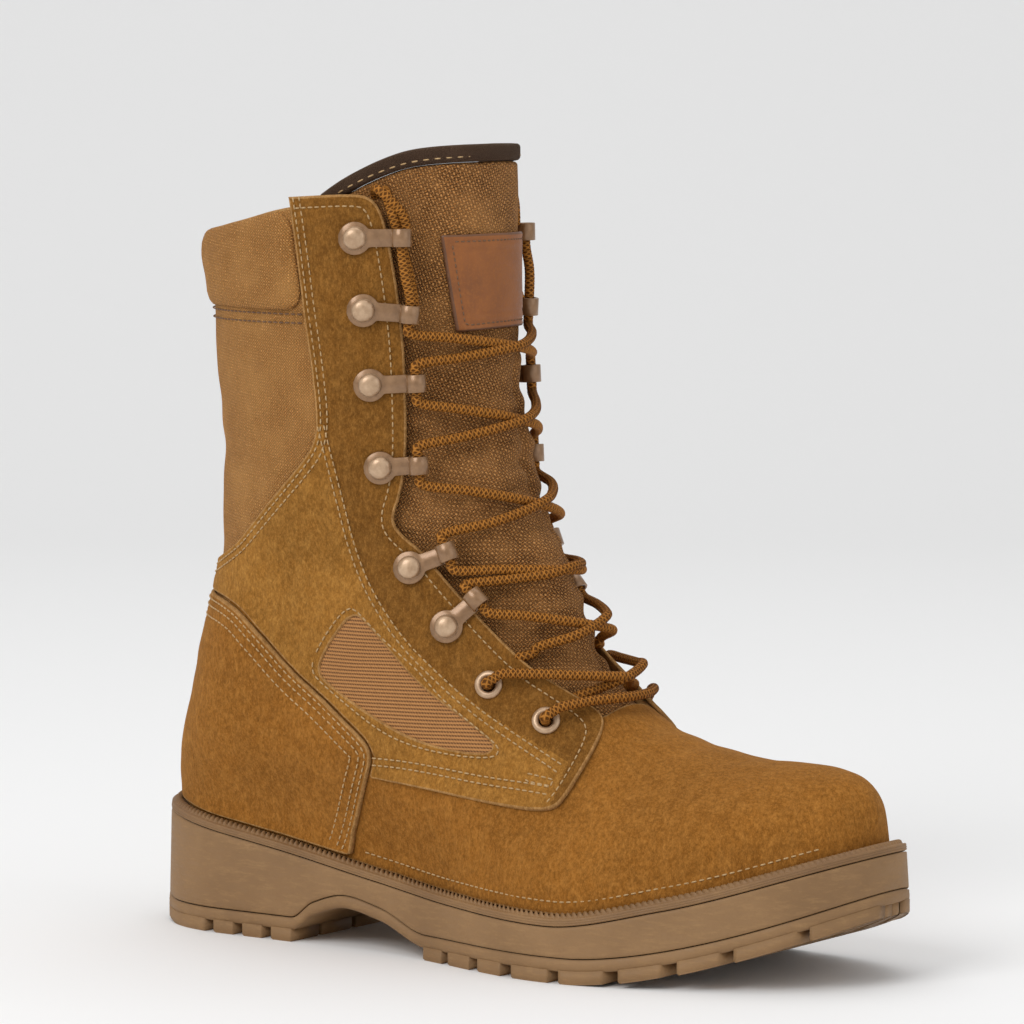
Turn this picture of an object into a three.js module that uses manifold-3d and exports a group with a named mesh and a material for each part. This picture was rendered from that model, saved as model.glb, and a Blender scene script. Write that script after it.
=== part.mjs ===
// A laced combat boot for the right foot, standing empty on its sole: toe along +X, outer side along -Y.
// Millimetres, +Z up, with the origin on the floor under the middle of the boot.
import * as THREE from "three";
import { mergeVertices } from "three/addons/utils/BufferGeometryUtils.js";
import Module from "manifold-3d";

const wasm = await Module();
wasm.setup();

// Sole
const SOLE_LENGTH = 308;
const BALL_HALF = 57;
const HEEL_ROUND = 48;
const TOE_ROUND = 88;
const TOE_SWING = 12;
const SIDE_DRAFT = 1.6;
const PLATE_INSET = 0.2;
const PLATE_DRAFT = SIDE_DRAFT / 3;
const WELT_DRAFT = SIDE_DRAFT * 0.8;
const TREAD_DEPTH = 4.4;
const PLATE_THICKNESS = 4.6;
const ARCH_RISE = 10.4;
const TOE_SPRING = 24.8;
const HEEL_BEVEL = 3;
const LIP_HEIGHT = 47;
const WELT_THICKNESS = 2.75;
const WELT_WIDTH = 13;
const RIB_HEIGHT = 1.9;
const RIB_WIDTH = 2.6;
const INSOLE_THICKNESS = 4;

// Last and upper
const LAST_INSET = 9.8;
const LAST_HALF = 46;
const INSTEP_HEIGHT = 102;
const SHAFT_HEIGHT = 265;
const WALL = 2.8;
const OVERLAY = 1.5;
const COUNTER_THICKNESS = 2;
const CUFF_THICKNESS = 2.4;
const FEATHER_UNDER = 9;
const FEATHER_LOW = 4;
const FEATHER_HIGH = 42;

// Tongue
const TONGUE_THICKNESS = 4;
const TONGUE_RISE = 32;
const TONGUE_BULGE = 6.5;
const BULGE_START = 9.2;
const BULGE_FULL = 22;
const BINDING_BAND = 6;
const BINDING_ROLL = 0.9;
const LABEL_THICKNESS = 1.2;

// Lacing
const LACE_DIAMETER = 3.5;
const EYELET_OUTER = 5.15;
const EYELET_BORE = 2.7;
const EYELET_THICKNESS = 1.3;
const HOOK_PLATE = 6;
const HOOK_STRAP = 3.25;
const HOOK_THICKNESS = 1;
const LOOP_SET_BACK = 1.24;
const RIVET_RADIUS = 4.35;
const RIVET_HEIGHT = 2.4;

// The clearance between neighbours, and how far bodies that are joined or cut reach past each other
const GAP = 0.3;
const REACH = 1;

// Grid of the lofts and rings
const RING_STEPS = 17;
const SECTION_STEPS = 10;
const FAN_STEPS = 24;
const LACE_SIDES = 6;
const RIVET_SIDES = 8;
const EYELET_SIDES = 12;
const FAR = 400;
const MERGE = 1e-3;

const LAST_LENGTH = SOLE_LENGTH - 2 * LAST_INSET;
const LACE_RADIUS = LACE_DIAMETER / 2;

// Roundness of the sole's ends, of the heel's back and of the ridge: 2 is a circle, more is squarer
const END_POWER = 2.2;
const HEEL_POWER = 2.1;
const RIDGE_POWER = 2.05;

// Where the toe starts to rise and the heel's bevel ends along the sole, and how each bends
const SPRING_START = 0.69;
const SPRING_POWER = 1.7;
const BEVEL_END = 0.06;
const BEVEL_POWER = 1.5;

// Sole widths: share along the sole, outer and inner half-width as shares of BALL_HALF
const OUTLINE = [
  { at: 0, outer: 0.684, inner: 0.684 },
  { at: 0.13, outer: 0.684, inner: 0.684 },
  { at: 0.38, outer: 0.702, inner: 0.649 },
  { at: 0.66, outer: 1.018, inner: 0.982 },
  { at: 0.84, outer: 0.912, inner: 0.895 },
  { at: 1, outer: 0.885, inner: 0.868 },
];

// How far the sole's middle swings to the inner side, as a share of TOE_SWING
const SWING = [
  { at: 0, share: 0 },
  { at: 0.3, share: 0 },
  { at: 0.66, share: 0.083 },
  { at: 1, share: 1 },
];

// Height of the sole's upper lip along the sole, as a share of LIP_HEIGHT
const LIP = [
  { at: 0, share: 1 },
  { at: 0.22, share: 0.787 },
  { at: 0.5, share: 0.519 },
  { at: 0.66, share: 0.485 },
  { at: 0.8, share: 0.653 },
  { at: 1, share: 1.064 },
];

// The hollow of the arch along the sole, as a share of ARCH_RISE
const ARCH = [
  { at: 0, share: 0 },
  { at: 0.252, share: 0 },
  { at: 0.285, share: 0.62 },
  { at: 0.334, share: 1 },
  { at: 0.385, share: 0.72 },
  { at: 0.462, share: 0 },
  { at: 1, share: 0 },
];

// Where the heel's tread ends, where the forefoot's starts, and the slots across both, which are wider
// under the floor by their flare
const HEEL_END = 0.254;
const FOREFOOT_START = 0.461;
const SLOT_UNDER = 10;
const SLOT_FLARE = 1.2;
const SLOTS = [
  { at: 0.127, width: 0.013 },
  { at: 0.172, width: 0.013 },
  { at: 0.216, width: 0.013 },
  { at: 0.5, width: 0.01 },
  { at: 0.552, width: 0.013 },
  { at: 0.607, width: 0.016 },
  { at: 0.676, width: 0.013 },
  { at: 0.747, width: 0.016 },
  { at: 0.812, width: 0.016 },
  { at: 0.873, width: 0.013 },
  { at: 0.945, width: 0.01 },
];

// Side-view places: x as a share of LAST_LENGTH, and z as a share of the height to the collar. Up to the
// instep's share the heights follow INSTEP_HEIGHT, and above it the rest of SHAFT_HEIGHT.
const INSTEP_SHARE = 0.385;

// Vamp sections from toe to instep. Each is a chord in the side view, from the ridge on top down to x on
// the sole. Half-widths and the reach of the ridge's roundness are shares of LAST_HALF, and the swings
// are shares of TOE_SWING.
const VAMP = [
  { x: 0.9993, z: 0.2191, footX: 0.9993, outer: 0.98, inner: 0.955, reach: 0.48, swing: 1, footSwing: 1 },
  { x: 0.996, z: 0.236, footX: 0.996, outer: 0.98, inner: 0.955, reach: 0.5, swing: 1, footSwing: 1 },
  { x: 0.984, z: 0.2549, footX: 0.984, outer: 0.98, inner: 0.955, reach: 0.56, swing: 1, footSwing: 1 },
  { x: 0.961, z: 0.268, footX: 0.961, outer: 0.98, inner: 0.955, reach: 0.65, swing: 1, footSwing: 0.9 },
  { x: 0.923, z: 0.2745, footX: 0.923, outer: 1, inner: 0.955, reach: 0.76, swing: 1, footSwing: 0.83 },
  { x: 0.857, z: 0.2749, footX: 0.857, outer: 1.04, inner: 1, reach: 0.91, swing: 0.92, footSwing: 0.58 },
  { x: 0.791, z: 0.283, footX: 0.784, outer: 1.065, inner: 1.02, reach: 1.07, swing: 0.83, footSwing: 0.33 },
  { x: 0.722, z: 0.3038, footX: 0.687, outer: 1.04, inner: 1, reach: 1.26, swing: 0.67, footSwing: 0.17 },
  { x: 0.666, z: 0.3342, footX: 0.562, outer: 0.98, inner: 0.935, reach: 1.39, swing: 0.5, footSwing: 0.08 },
  { x: 0.625, z: 0.385, footX: 0.417, outer: 0.89, inner: 0.85, reach: 1.48, swing: 0.33, footSwing: 0 },
  { x: 0.587, z: 0.4454, footX: 0.237, outer: 0.85, inner: 0.8, reach: 1.57, swing: 0.25, footSwing: 0 },
  { x: 0.554, z: 0.498, footX: 0.07, outer: 0.85, inner: 0.8, reach: 1.57, swing: 0.17, footSwing: 0, heel: 0.43 },
];

// Shaft sections from the heel's back to above the collar. Each is a chord from the front of the ankle
// to the back of the heel.
const SHAFT = [
  { x: 0.531, z: 0.54, backX: 0.002, backZ: 0.128, outer: 0.85, inner: 0.8, reach: 1.52, heel: 0.98, swing: 0.1 },
  { x: 0.514, z: 0.574, backX: 0.0094, backZ: 0.226, outer: 0.85, inner: 0.8, reach: 1.43, heel: 1.09 },
  { x: 0.497, z: 0.615, backX: 0.034, backZ: 0.347, outer: 0.85, inner: 0.8, reach: 1.35, heel: 1.13 },
  { x: 0.483, z: 0.657, backX: 0.058, backZ: 0.46, outer: 0.87, inner: 0.85, reach: 1.3, heel: 1.17 },
  { x: 0.472, z: 0.706, backX: 0.075, backZ: 0.551, outer: 0.91, inner: 0.89, reach: 1.26, heel: 1.22 },
  { x: 0.464, z: 0.766, backX: 0.075, backZ: 0.66, outer: 0.955, inner: 0.935, reach: 1.24, heel: 1.26 },
  { x: 0.458, z: 0.842, backX: 0.068, backZ: 0.777, outer: 0.98, inner: 0.955, reach: 1.24, heel: 1.3 },
  { x: 0.455, z: 0.928, backX: 0.061, backZ: 0.891, outer: 1, inner: 0.98, reach: 1.24, heel: 1.3 },
  { x: 0.452, z: 1.019, backX: 0.054, backZ: 1.011, outer: 1, inner: 0.98, reach: 1.24, heel: 1.3 },
  { x: 0.448, z: 1.15, backX: 0.051, backZ: 1.15, outer: 1, inner: 0.98, reach: 1.24, heel: 1.3 },
];

// Side-view outlines
const THROAT = [
  { x: 0.362, z: 1.2 },
  { x: 0.385, z: 0.92 },
  { x: 0.392, z: 0.75 },
  { x: 0.39, z: 0.64 },
  { x: 0.38, z: 0.59 },
  { x: 0.402, z: 0.56 },
  { x: 0.445, z: 0.505 },
  { x: 0.49, z: 0.453 },
  { x: 0.55, z: 0.402 },
  { x: 0.61, z: 0.363 },
  { x: 0.655, z: 0.34 },
];
const COLLAR = [
  { x: -0.1, z: 0.981 },
  { x: 0.08, z: 0.989 },
  { x: 0.178, z: 1.006 },
  { x: 0.264, z: 1.028 },
  { x: 0.5, z: 1.05 },
];
const FLAP_REAR = [
  { x: 0.267, z: 1.04 },
  { x: 0.278, z: 0.97 },
  { x: 0.289, z: 0.887 },
  { x: 0.299, z: 0.804 },
  { x: 0.305, z: 0.735 },
  { x: 0.298, z: 0.7 },
  { x: 0.277, z: 0.674 },
  { x: 0.233, z: 0.629 },
  { x: 0.184, z: 0.581 },
  { x: 0.15, z: 0.552 },
  { x: 0.07, z: 0.518 },
  { x: -0.1, z: 0.505 },
];
const FLAP_FRONT = [
  { x: 0.267, z: 1.04 },
  { x: 0.357, z: 1.046 },
  { x: 0.377, z: 1.04 },
  { x: 0.388, z: 1.02 },
  { x: 0.397, z: 0.975 },
  { x: 0.407, z: 0.9 },
  { x: 0.413, z: 0.81 },
  { x: 0.416, z: 0.7 },
  { x: 0.41, z: 0.64 },
  { x: 0.397, z: 0.598 },
  { x: 0.413, z: 0.578 },
  { x: 0.44, z: 0.557 },
  { x: 0.498, z: 0.48 },
  { x: 0.57, z: 0.407 },
  { x: 0.608, z: 0.383 },
  { x: 0.653, z: 0.351 },
  { x: 0.668, z: 0.328 },
  { x: 0.67, z: 0.292 },
  { x: 0.66, z: 0.245 },
  { x: 0.646, z: 0.219 },
  { x: 0.54, z: 0.226 },
  { x: 0.465, z: 0.235 },
  { x: 0.37, z: 0.243 },
];
const COUNTER_EDGE = [
  { x: 0.314, z: -0.1 },
  { x: 0.314, z: 0.13 },
  { x: 0.352, z: 0.208 },
  { x: 0.376, z: 0.27 },
  { x: 0.366, z: 0.292 },
  { x: 0.34, z: 0.313 },
  { x: 0.295, z: 0.351 },
  { x: 0.247, z: 0.387 },
  { x: 0.198, z: 0.434 },
  { x: 0.15, z: 0.472 },
  { x: 0.07, z: 0.482 },
  { x: -0.1, z: 0.485 },
];
const VENT = [
  { x: 0.29, z: 0.388 },
  { x: 0.315, z: 0.432 },
  { x: 0.345, z: 0.468 },
  { x: 0.36, z: 0.466 },
  { x: 0.407, z: 0.411 },
  { x: 0.452, z: 0.367 },
  { x: 0.531, z: 0.316 },
  { x: 0.55, z: 0.302 },
  { x: 0.545, z: 0.29 },
  { x: 0.49, z: 0.292 },
  { x: 0.428, z: 0.305 },
  { x: 0.36, z: 0.338 },
  { x: 0.31, z: 0.368 },
];
const TONGUE_REAR = [
  { x: 0.71, z: 0.25 },
  { x: 0.6, z: 0.32 },
  { x: 0.5, z: 0.395 },
  { x: 0.42, z: 0.47 },
  { x: 0.365, z: 0.55 },
  { x: 0.345, z: 0.7 },
  { x: 0.33, z: 0.9 },
  { x: 0.32, z: 0.97 },
];
const TONGUE_TOP = [
  { x: 0.305, z: 0.35 },
  { x: 0.34, z: 0.55 },
  { x: 0.385, z: 0.75 },
  { x: 0.43, z: 0.9 },
  { x: 0.5, z: 0.95 },
  { x: 0.8, z: 1 },
];
const CUFF_SEAM = 0.885;

// Front view of the label, y as a share of LAST_HALF, and where its cut starts along the last
const LABEL = [
  { y: -0.49, z: 0.989 },
  { y: 0.45, z: 0.989 },
  { y: 0.49, z: 0.858 },
  { y: -0.4, z: 0.855 },
];
const LABEL_FROM = 0.35;

// Lace hooks from the top down, stud and loop in the side view, then the eyelets, each with the place
// where its lace comes out from under the flap
const HOOKS = [
  { x: 0.358, z: 0.985, loopX: 0.412, loopZ: 0.986 },
  { x: 0.368, z: 0.887, loopX: 0.42, loopZ: 0.882 },
  { x: 0.375, z: 0.785, loopX: 0.427, loopZ: 0.788 },
  { x: 0.386, z: 0.672, loopX: 0.432, loopZ: 0.677 },
  { x: 0.424, z: 0.536, loopX: 0.47, loopZ: 0.558 },
  { x: 0.472, z: 0.457, loopX: 0.505, loopZ: 0.497 },
];
const EYELETS = [
  { x: 0.531, z: 0.381, edgeX: 0.56, edgeZ: 0.415 },
  { x: 0.607, z: 0.336, edgeX: 0.635, edgeZ: 0.364 },
];

// A hook's plate is widest in its middle, at shares of its radius, the strap runs on at shares of its
// length, and the loop turns through an angle
const PLATE_STEPS = [-0.97, -0.8, -0.45, 0, 0.45, 0.84];
const PLATE_TIP = 0.5;
const STRAP_STEPS = [0.5, 0.78];
const LOOP_STEPS = 7;
const LOOP_TURN = 1.62 * Math.PI;

// Profile of a rivet's dome, and how an eyelet's rim draws in and its bore opens at the top
const DOME = [
  { radius: 0, height: 0 },
  { radius: 1, height: 0 },
  { radius: 0.92, height: 0.45 },
  { radius: 0.6, height: 0.85 },
  { radius: 0, height: 1 },
];
const RIM_SHARE = 0.85;
const BORE_FLARE = 1.15;

// Places along a strand between its legs, how wide a crossing's rise is there, and how high in laces
const STRAND_STEPS = [0.2, 0.37, 0.5, 0.63, 0.8];
const CROSSING_WIDTH = 0.13;
const CROSSING_RISE = 0.75;
const LEG_LENGTH = 0.8;
const TUCK = 1.5;

// The way a strand leaves an eyelet or the flap's edge: this much forward and up for one part across
const LEAVE_FORWARD = 0.35;
const LEAVE_UP = 0.25;

// Colours and finish
const MATERIALS = {
  suede: { color: 0x9b6a32, roughness: 0.95, metalness: 0 },
  suedeDark: { color: 0x8a6434, roughness: 0.95, metalness: 0 },
  fabric: { color: 0xa5784b, roughness: 0.9, metalness: 0 },
  rubber: { color: 0x8e7250, roughness: 0.75, metalness: 0 },
  lace: { color: 0x965a1e, roughness: 0.85, metalness: 0 },
  hardware: { color: 0x987c5e, roughness: 0.45, metalness: 0.6 },
  binding: { color: 0x553c2d, roughness: 0.9, metalness: 0 },
  patch: { color: 0x965826, roughness: 0.7, metalness: 0 },
  lining: { color: 0x7a6248, roughness: 0.95, metalness: 0 },
};
for (const [name, look] of Object.entries(MATERIALS)) {
  MATERIALS[name] = new THREE.MeshStandardMaterial({ name, ...look });
}

// Curve through the values of a table, with no overshoot between its rows.
function curve(places, values, at) {
  const last = places.length - 1;
  const slopes = places.slice(1).map((p, i) => (values[i + 1] - values[i]) / (p - places[i]));
  const tangent = (i) => {
    if (i === 0 || i === last) return slopes[Math.min(i, last - 1)];
    if (slopes[i - 1] * slopes[i] <= 0) return 0;
    const before = places[i] - places[i - 1];
    const after = places[i + 1] - places[i];
    const a = 2 * after + before;
    const b = after + 2 * before;
    return (a + b) / (a / slopes[i - 1] + b / slopes[i]);
  };
  let i = 0;
  while (i < last - 1 && at >= places[i + 1]) i++;
  const step = places[i + 1] - places[i];
  const t = THREE.MathUtils.clamp((at - places[i]) / step, 0, 1);
  const from = (1 + 2 * t) * (1 - t) ** 2 * values[i] + t * (1 - t) ** 2 * step * tangent(i);
  const to = t * t * (3 - 2 * t) * values[i + 1] + t * t * (t - 1) * step * tangent(i + 1);
  return from + to;
}

function read(table, column, at) {
  return curve(table.map((row) => row.at), table.map((row) => row[column]), at);
}

// Rises from 0 at an edge to 1 at its reach, as the side of a rounded end does.
function rounded(distance, reach, power) {
  const x = THREE.MathUtils.clamp(distance / reach, 0, 1);
  return (1 - (1 - x) ** power) ** (1 / power);
}

function smooth(low, high, value) {
  return THREE.MathUtils.smoothstep(value, low, high);
}

// Solids

function solid(geometry) {
  const bare = new THREE.BufferGeometry();
  bare.setAttribute("position", geometry.getAttribute("position").clone());
  if (geometry.index) bare.setIndex(geometry.index.clone());
  const merged = mergeVertices(bare, MERGE);
  const index = merged.index.array;
  const kept = [];
  for (let i = 0; i < index.length; i += 3) {
    const [a, b, c] = [index[i], index[i + 1], index[i + 2]];
    if (a !== b && b !== c && c !== a) kept.push(a, b, c);
  }
  const made = new wasm.Manifold(
    new wasm.Mesh({
      numProp: 3,
      vertProperties: new Float32Array(merged.getAttribute("position").array),
      triVerts: new Uint32Array(kept),
    }),
  );
  return made.volume() < 0 ? solid(turned(merged)) : made;
}

// The same surface with its faces turned round.
function turned(geometry) {
  const index = Array.from(geometry.index.array);
  for (let i = 0; i < index.length; i += 3) {
    [index[i + 1], index[i + 2]] = [index[i + 2], index[i + 1]];
  }
  return geometry.clone().setIndex(index);
}

function geometryOf(made) {
  const mesh = made.getMesh();
  const positions = new Float32Array(mesh.numVert * 3);
  for (let i = 0; i < mesh.numVert; i++) {
    positions.set(mesh.vertProperties.subarray(i * mesh.numProp, i * mesh.numProp + 3), i * 3);
  }
  const geometry = new THREE.BufferGeometry();
  geometry.setAttribute("position", new THREE.BufferAttribute(positions, 3));
  geometry.setIndex(new THREE.BufferAttribute(new Uint32Array(mesh.triVerts), 1));
  geometry.computeVertexNormals();
  return geometry;
}

// A closed body through rings of equal count. A ring's points run up one side and back down the
// other, so each end is closed by a ladder of faces between the two sides.
function loft(rings) {
  const count = rings[0].length;
  const points = rings.flat();
  const index = [];
  const quad = (a, b, c, d) => index.push(a, b, c, a, c, d);
  for (let r = 0; r < rings.length - 1; r++) {
    for (let i = 0; i < count; i++) {
      const j = (i + 1) % count;
      quad(r * count + i, r * count + j, (r + 1) * count + j, (r + 1) * count + i);
    }
  }
  const top = (rings.length - 1) * count;
  for (let i = 0; i < count / 2 - 1; i++) {
    const mate = count - 1 - i;
    quad(i + 1, i, mate, mate - 1);
    quad(top + i, top + i + 1, top + mate - 1, top + mate);
  }
  const geometry = new THREE.BufferGeometry().setFromPoints(points);
  return solid(geometry.setIndex(index));
}

// A body that runs across the whole boot with the given side-view outline, in millimetres.
function sideCut(outline, lowY = -FAR, highY = FAR) {
  const shape = new THREE.Shape(outline.map(([x, z]) => new THREE.Vector2(x, z)));
  const geometry = new THREE.ExtrudeGeometry(shape, { depth: highY - lowY, bevelEnabled: false });
  geometry.rotateX(Math.PI / 2);
  geometry.translate(0, highY, 0);
  return solid(geometry);
}

function lastX(share) {
  return LAST_INSET + share * LAST_LENGTH;
}

function heightAt(share) {
  if (share <= INSTEP_SHARE) return (share / INSTEP_SHARE) * INSTEP_HEIGHT;
  const above = (share - INSTEP_SHARE) / (1 - INSTEP_SHARE);
  return INSTEP_HEIGHT + above * (SHAFT_HEIGHT - INSTEP_HEIGHT);
}

function onSide(outline) {
  return outline.map(({ x, z }) => [lastX(x), heightAt(z)]);
}

// Sole

function soleCentre(x) {
  return TOE_SWING * read(SWING, "share", x / SOLE_LENGTH);
}

function soleHalf(x, side, inset) {
  const width = BALL_HALF * read(OUTLINE, side < 0 ? "outer" : "inner", x / SOLE_LENGTH);
  const heel = rounded(x - inset, HEEL_ROUND - inset, END_POWER);
  const toe = rounded(SOLE_LENGTH - inset - x, TOE_ROUND - inset, END_POWER);
  return (width - inset) * heel * toe;
}

function floorHeight(x) {
  const toe = THREE.MathUtils.clamp((x / SOLE_LENGTH - SPRING_START) / (1 - SPRING_START), 0, 1);
  const heel = THREE.MathUtils.clamp(1 - x / SOLE_LENGTH / BEVEL_END, 0, 1);
  return TOE_SPRING * toe ** SPRING_POWER + HEEL_BEVEL * heel ** BEVEL_POWER;
}

function archHeight(x) {
  return ARCH_RISE * read(ARCH, "share", x / SOLE_LENGTH);
}

function plateTop(x) {
  return floorHeight(x) + TREAD_DEPTH + PLATE_THICKNESS + archHeight(x);
}

function lipHeight(x) {
  return LIP_HEIGHT * read(LIP, "share", x / SOLE_LENGTH);
}

function soleRing(inset, height) {
  const side = (sign) =>
    Array.from({ length: RING_STEPS }, (_, i) => {
      const share = (1 - Math.cos(((i + 0.5) / RING_STEPS) * Math.PI)) / 2;
      const x = inset + share * (SOLE_LENGTH - 2 * inset);
      return new THREE.Vector3(x, soleCentre(x) + sign * soleHalf(x, sign, inset), height(x));
    });
  return [...side(-1), ...side(1).reverse()];
}

function soleLayer(lowInset, low, highInset, high) {
  return loft([soleRing(lowInset, low), soleRing(highInset, high)]);
}

function makeOutsole() {
  const plateBottom = (x) => floorHeight(x) + TREAD_DEPTH + archHeight(x);
  const plate = soleLayer(PLATE_INSET, plateBottom, PLATE_DRAFT, plateTop);
  const tread = soleLayer(0, floorHeight, PLATE_INSET, (x) => floorHeight(x) + TREAD_DEPTH + REACH);
  const heelEnd = HEEL_END * SOLE_LENGTH;
  const forefoot = FOREFOOT_START * SOLE_LENGTH;
  const archTop = TREAD_DEPTH + 2 * REACH;
  const arch = sideCut([
    [heelEnd, -SLOT_UNDER],
    [forefoot, -SLOT_UNDER],
    [forefoot, archTop],
    [heelEnd, archTop],
  ]);
  const slots = SLOTS.map(({ at, width }) => {
    const x = at * SOLE_LENGTH;
    const half = (width * SOLE_LENGTH) / 2;
    const top = floorHeight(x) + TREAD_DEPTH - GAP;
    return sideCut([
      [x - half * SLOT_FLARE, -SLOT_UNDER],
      [x + half * SLOT_FLARE, -SLOT_UNDER],
      [x + half, top],
      [x - half, top],
    ]);
  });
  const lugs = slots.reduce((body, slot) => body.subtract(slot), tread.subtract(arch));
  return lugs.add(plate);
}

function makeMidsole() {
  const top = (x) => lipHeight(x) - WELT_THICKNESS - GAP;
  const slab = soleLayer(PLATE_DRAFT, (x) => plateTop(x) + GAP, WELT_DRAFT, top);
  const coreInset = SIDE_DRAFT + WELT_WIDTH + GAP;
  const core = soleLayer(coreInset, (x) => top(x) - REACH, coreInset, lipHeight);
  return slab.add(core);
}

function makeWelt() {
  const bottom = (x) => lipHeight(x) - WELT_THICKNESS;
  const strip = soleLayer(WELT_DRAFT, bottom, SIDE_DRAFT, lipHeight);
  const ribFoot = (x) => lipHeight(x) - REACH / 2;
  const ribTop = (x) => lipHeight(x) + RIB_HEIGHT;
  const ribInner = LAST_INSET - WALL - 4 * GAP;
  const ribOuter = ribInner - RIB_WIDTH;
  const bead = soleLayer(ribOuter, ribFoot, ribOuter + GAP, ribTop).subtract(
    soleLayer(ribInner, (x) => ribFoot(x) - REACH, ribInner, (x) => ribTop(x) + REACH),
  );
  const inside = SIDE_DRAFT + WELT_WIDTH;
  const hole = soleLayer(inside, (x) => bottom(x) - REACH, inside, (x) => lipHeight(x) + REACH);
  return strip.add(bead).subtract(hole);
}

function makeInsole() {
  const inset = LAST_INSET + 8 * GAP;
  const bottom = (x) => lipHeight(x) + 2 * GAP;
  return soleLayer(inset, bottom, inset, (x) => bottom(x) + INSOLE_THICKNESS);
}

// Last: the hollow's own form, as a fan of sections from the toe over the instep to the collar

const SECTIONS = [
  ...VAMP.map((row) => ({
    heel: 0,
    ...row,
    x: lastX(row.x),
    z: heightAt(row.z),
    backX: lastX(row.footX),
    backZ: lipHeight(lastX(row.footX)) - FEATHER_UNDER,
    backSwing: row.footSwing,
  })),
  ...SHAFT.map((row) => ({
    swing: 0,
    ...row,
    x: lastX(row.x),
    z: heightAt(row.z),
    backX: lastX(row.backX),
    backZ: heightAt(row.backZ),
    backSwing: 0,
  })),
];

function sectionAt(place) {
  const places = SECTIONS.map((_, i) => i);
  const value = (column) => curve(places, SECTIONS.map((row) => row[column]), place);
  return Object.fromEntries(Object.keys(SECTIONS.at(-1)).map((column) => [column, value(column)]));
}

// Share of the way from the section's own width to the sole's outline, near the sole.
function featherShare(x, z) {
  const lip = lipHeight(x);
  return 1 - smooth(lip + FEATHER_LOW, lip + FEATHER_HIGH, z);
}

function sectionRing(place) {
  const s = sectionAt(place);
  const length = Math.hypot(s.backX - s.x, s.backZ - s.z);
  const side = (sign) =>
    Array.from({ length: SECTION_STEPS }, (_, i) => {
      const share = (1 - Math.cos(((i + 0.5) / SECTION_STEPS) * Math.PI)) / 2;
      const x = s.x + (s.backX - s.x) * share;
      const z = s.z + (s.backZ - s.z) * share;
      const feather = featherShare(x, z);
      const back = s.heel * LAST_HALF;
      const heel = back > GAP ? rounded(length * (1 - share), back, HEEL_POWER) : 1;
      const toe = rounded(SOLE_LENGTH - LAST_INSET - x, TOE_ROUND - LAST_INSET, END_POWER);
      const own = LAST_HALF * (sign < 0 ? s.outer : s.inner) * heel * toe;
      const width = own * (1 - feather) + soleHalf(x, sign, LAST_INSET) * feather;
      const ridge = rounded(length * share, s.reach * LAST_HALF, RIDGE_POWER);
      const swing = TOE_SWING * (s.swing + (s.backSwing - s.swing) * share);
      const centre = swing * (1 - feather) + soleCentre(x) * feather;
      return new THREE.Vector3(x, centre + sign * width * ridge, z);
    });
  return [...side(-1), ...side(1).reverse()];
}

const LAST_RINGS = Array.from({ length: FAN_STEPS }, (_, i) =>
  sectionRing((i / (FAN_STEPS - 1)) * (SECTIONS.length - 1)),
);

const LAST_NORMALS = LAST_RINGS.map((ring, r) => {
  const before = LAST_RINGS[Math.max(r - 1, 0)];
  const after = LAST_RINGS[Math.min(r + 1, FAN_STEPS - 1)];
  return ring.map((_, i) => {
    const along = after[i].clone().sub(before[i]);
    const next = ring[(i + 1) % ring.length];
    const previous = ring[(i + ring.length - 1) % ring.length];
    return along.cross(next.clone().sub(previous)).normalize();
  });
});

// Whether those normals point outwards, from one on the outer side of the middle ring.
const middleRing = Math.floor(FAN_STEPS / 2);
const OUTWARD = -Math.sign(LAST_NORMALS[middleRing][Math.floor(SECTION_STEPS / 2)].y);

// The last grown outwards by a distance, which may depend on the place.
function formRings(distance) {
  const grow = typeof distance === "number" ? () => distance : distance;
  return LAST_RINGS.map((ring, r) =>
    ring.map((p, i) => p.clone().addScaledVector(LAST_NORMALS[r][i], OUTWARD * grow(p))),
  );
}

function form(distance) {
  return loft(formRings(distance));
}

// Cuts

const throatEnd = THROAT.at(-1);
const throatLine = onSide([...THROAT, { x: 0.8, z: throatEnd.z + 0.08 }]);
const throatCut = sideCut([...throatLine, [FAR, FAR], [throatLine[0][0], FAR]]);
const collarCut = sideCut([...onSide(COLLAR), [FAR, FAR], [-FAR, FAR]]);

// Everything above the sole's lip, by a rise.
function aboveLip(rise) {
  const edge = soleRing(SIDE_DRAFT, lipHeight).slice(0, RING_STEPS);
  const line = edge.map((p) => [p.x, p.z + rise]);
  return sideCut([...line, [FAR, line.at(-1)[1]], [FAR, FAR], [-FAR, FAR], [-FAR, line[0][1]]]);
}

// Upper

function makeUpper() {
  return form(WALL)
    .subtract(form(0))
    .intersect(aboveLip(GAP))
    .subtract(throatCut)
    .subtract(collarCut);
}

// A panel of the upper's own form that lies on the wall.
function overlay(thickness, outline, lowY = -FAR, highY = FAR) {
  const shell = form(WALL + GAP + thickness).subtract(form(WALL + GAP));
  return shell.intersect(sideCut(outline, lowY, highY));
}

// The same side-view outline, moved in or out by a clearance.
function moved(outline, dx, dz) {
  return outline.map(([x, z]) => [x + dx, z + dz]);
}

const aboveRibs = aboveLip(RIB_HEIGHT + GAP);
const counterOutline = onSide(COUNTER_EDGE);

function makeQuarter(side) {
  const edge = moved(counterOutline.slice(3), GAP, 3 * GAP);
  const outline = [...onSide(FLAP_FRONT), ...edge, ...onSide(FLAP_REAR).reverse().slice(0, -1)];
  const [lowY, highY] = side < 0 ? [-FAR, -GAP] : [GAP, FAR];
  const holes = EYELETS.map((spot) => boreAt(surfacePoint(spot, side), EYELET_BORE + GAP));
  const panel = overlay(OVERLAY, outline, lowY, highY).subtract(sideCut(onSide(VENT)));
  return holes.reduce((body, hole) => body.subtract(hole), panel);
}

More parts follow.
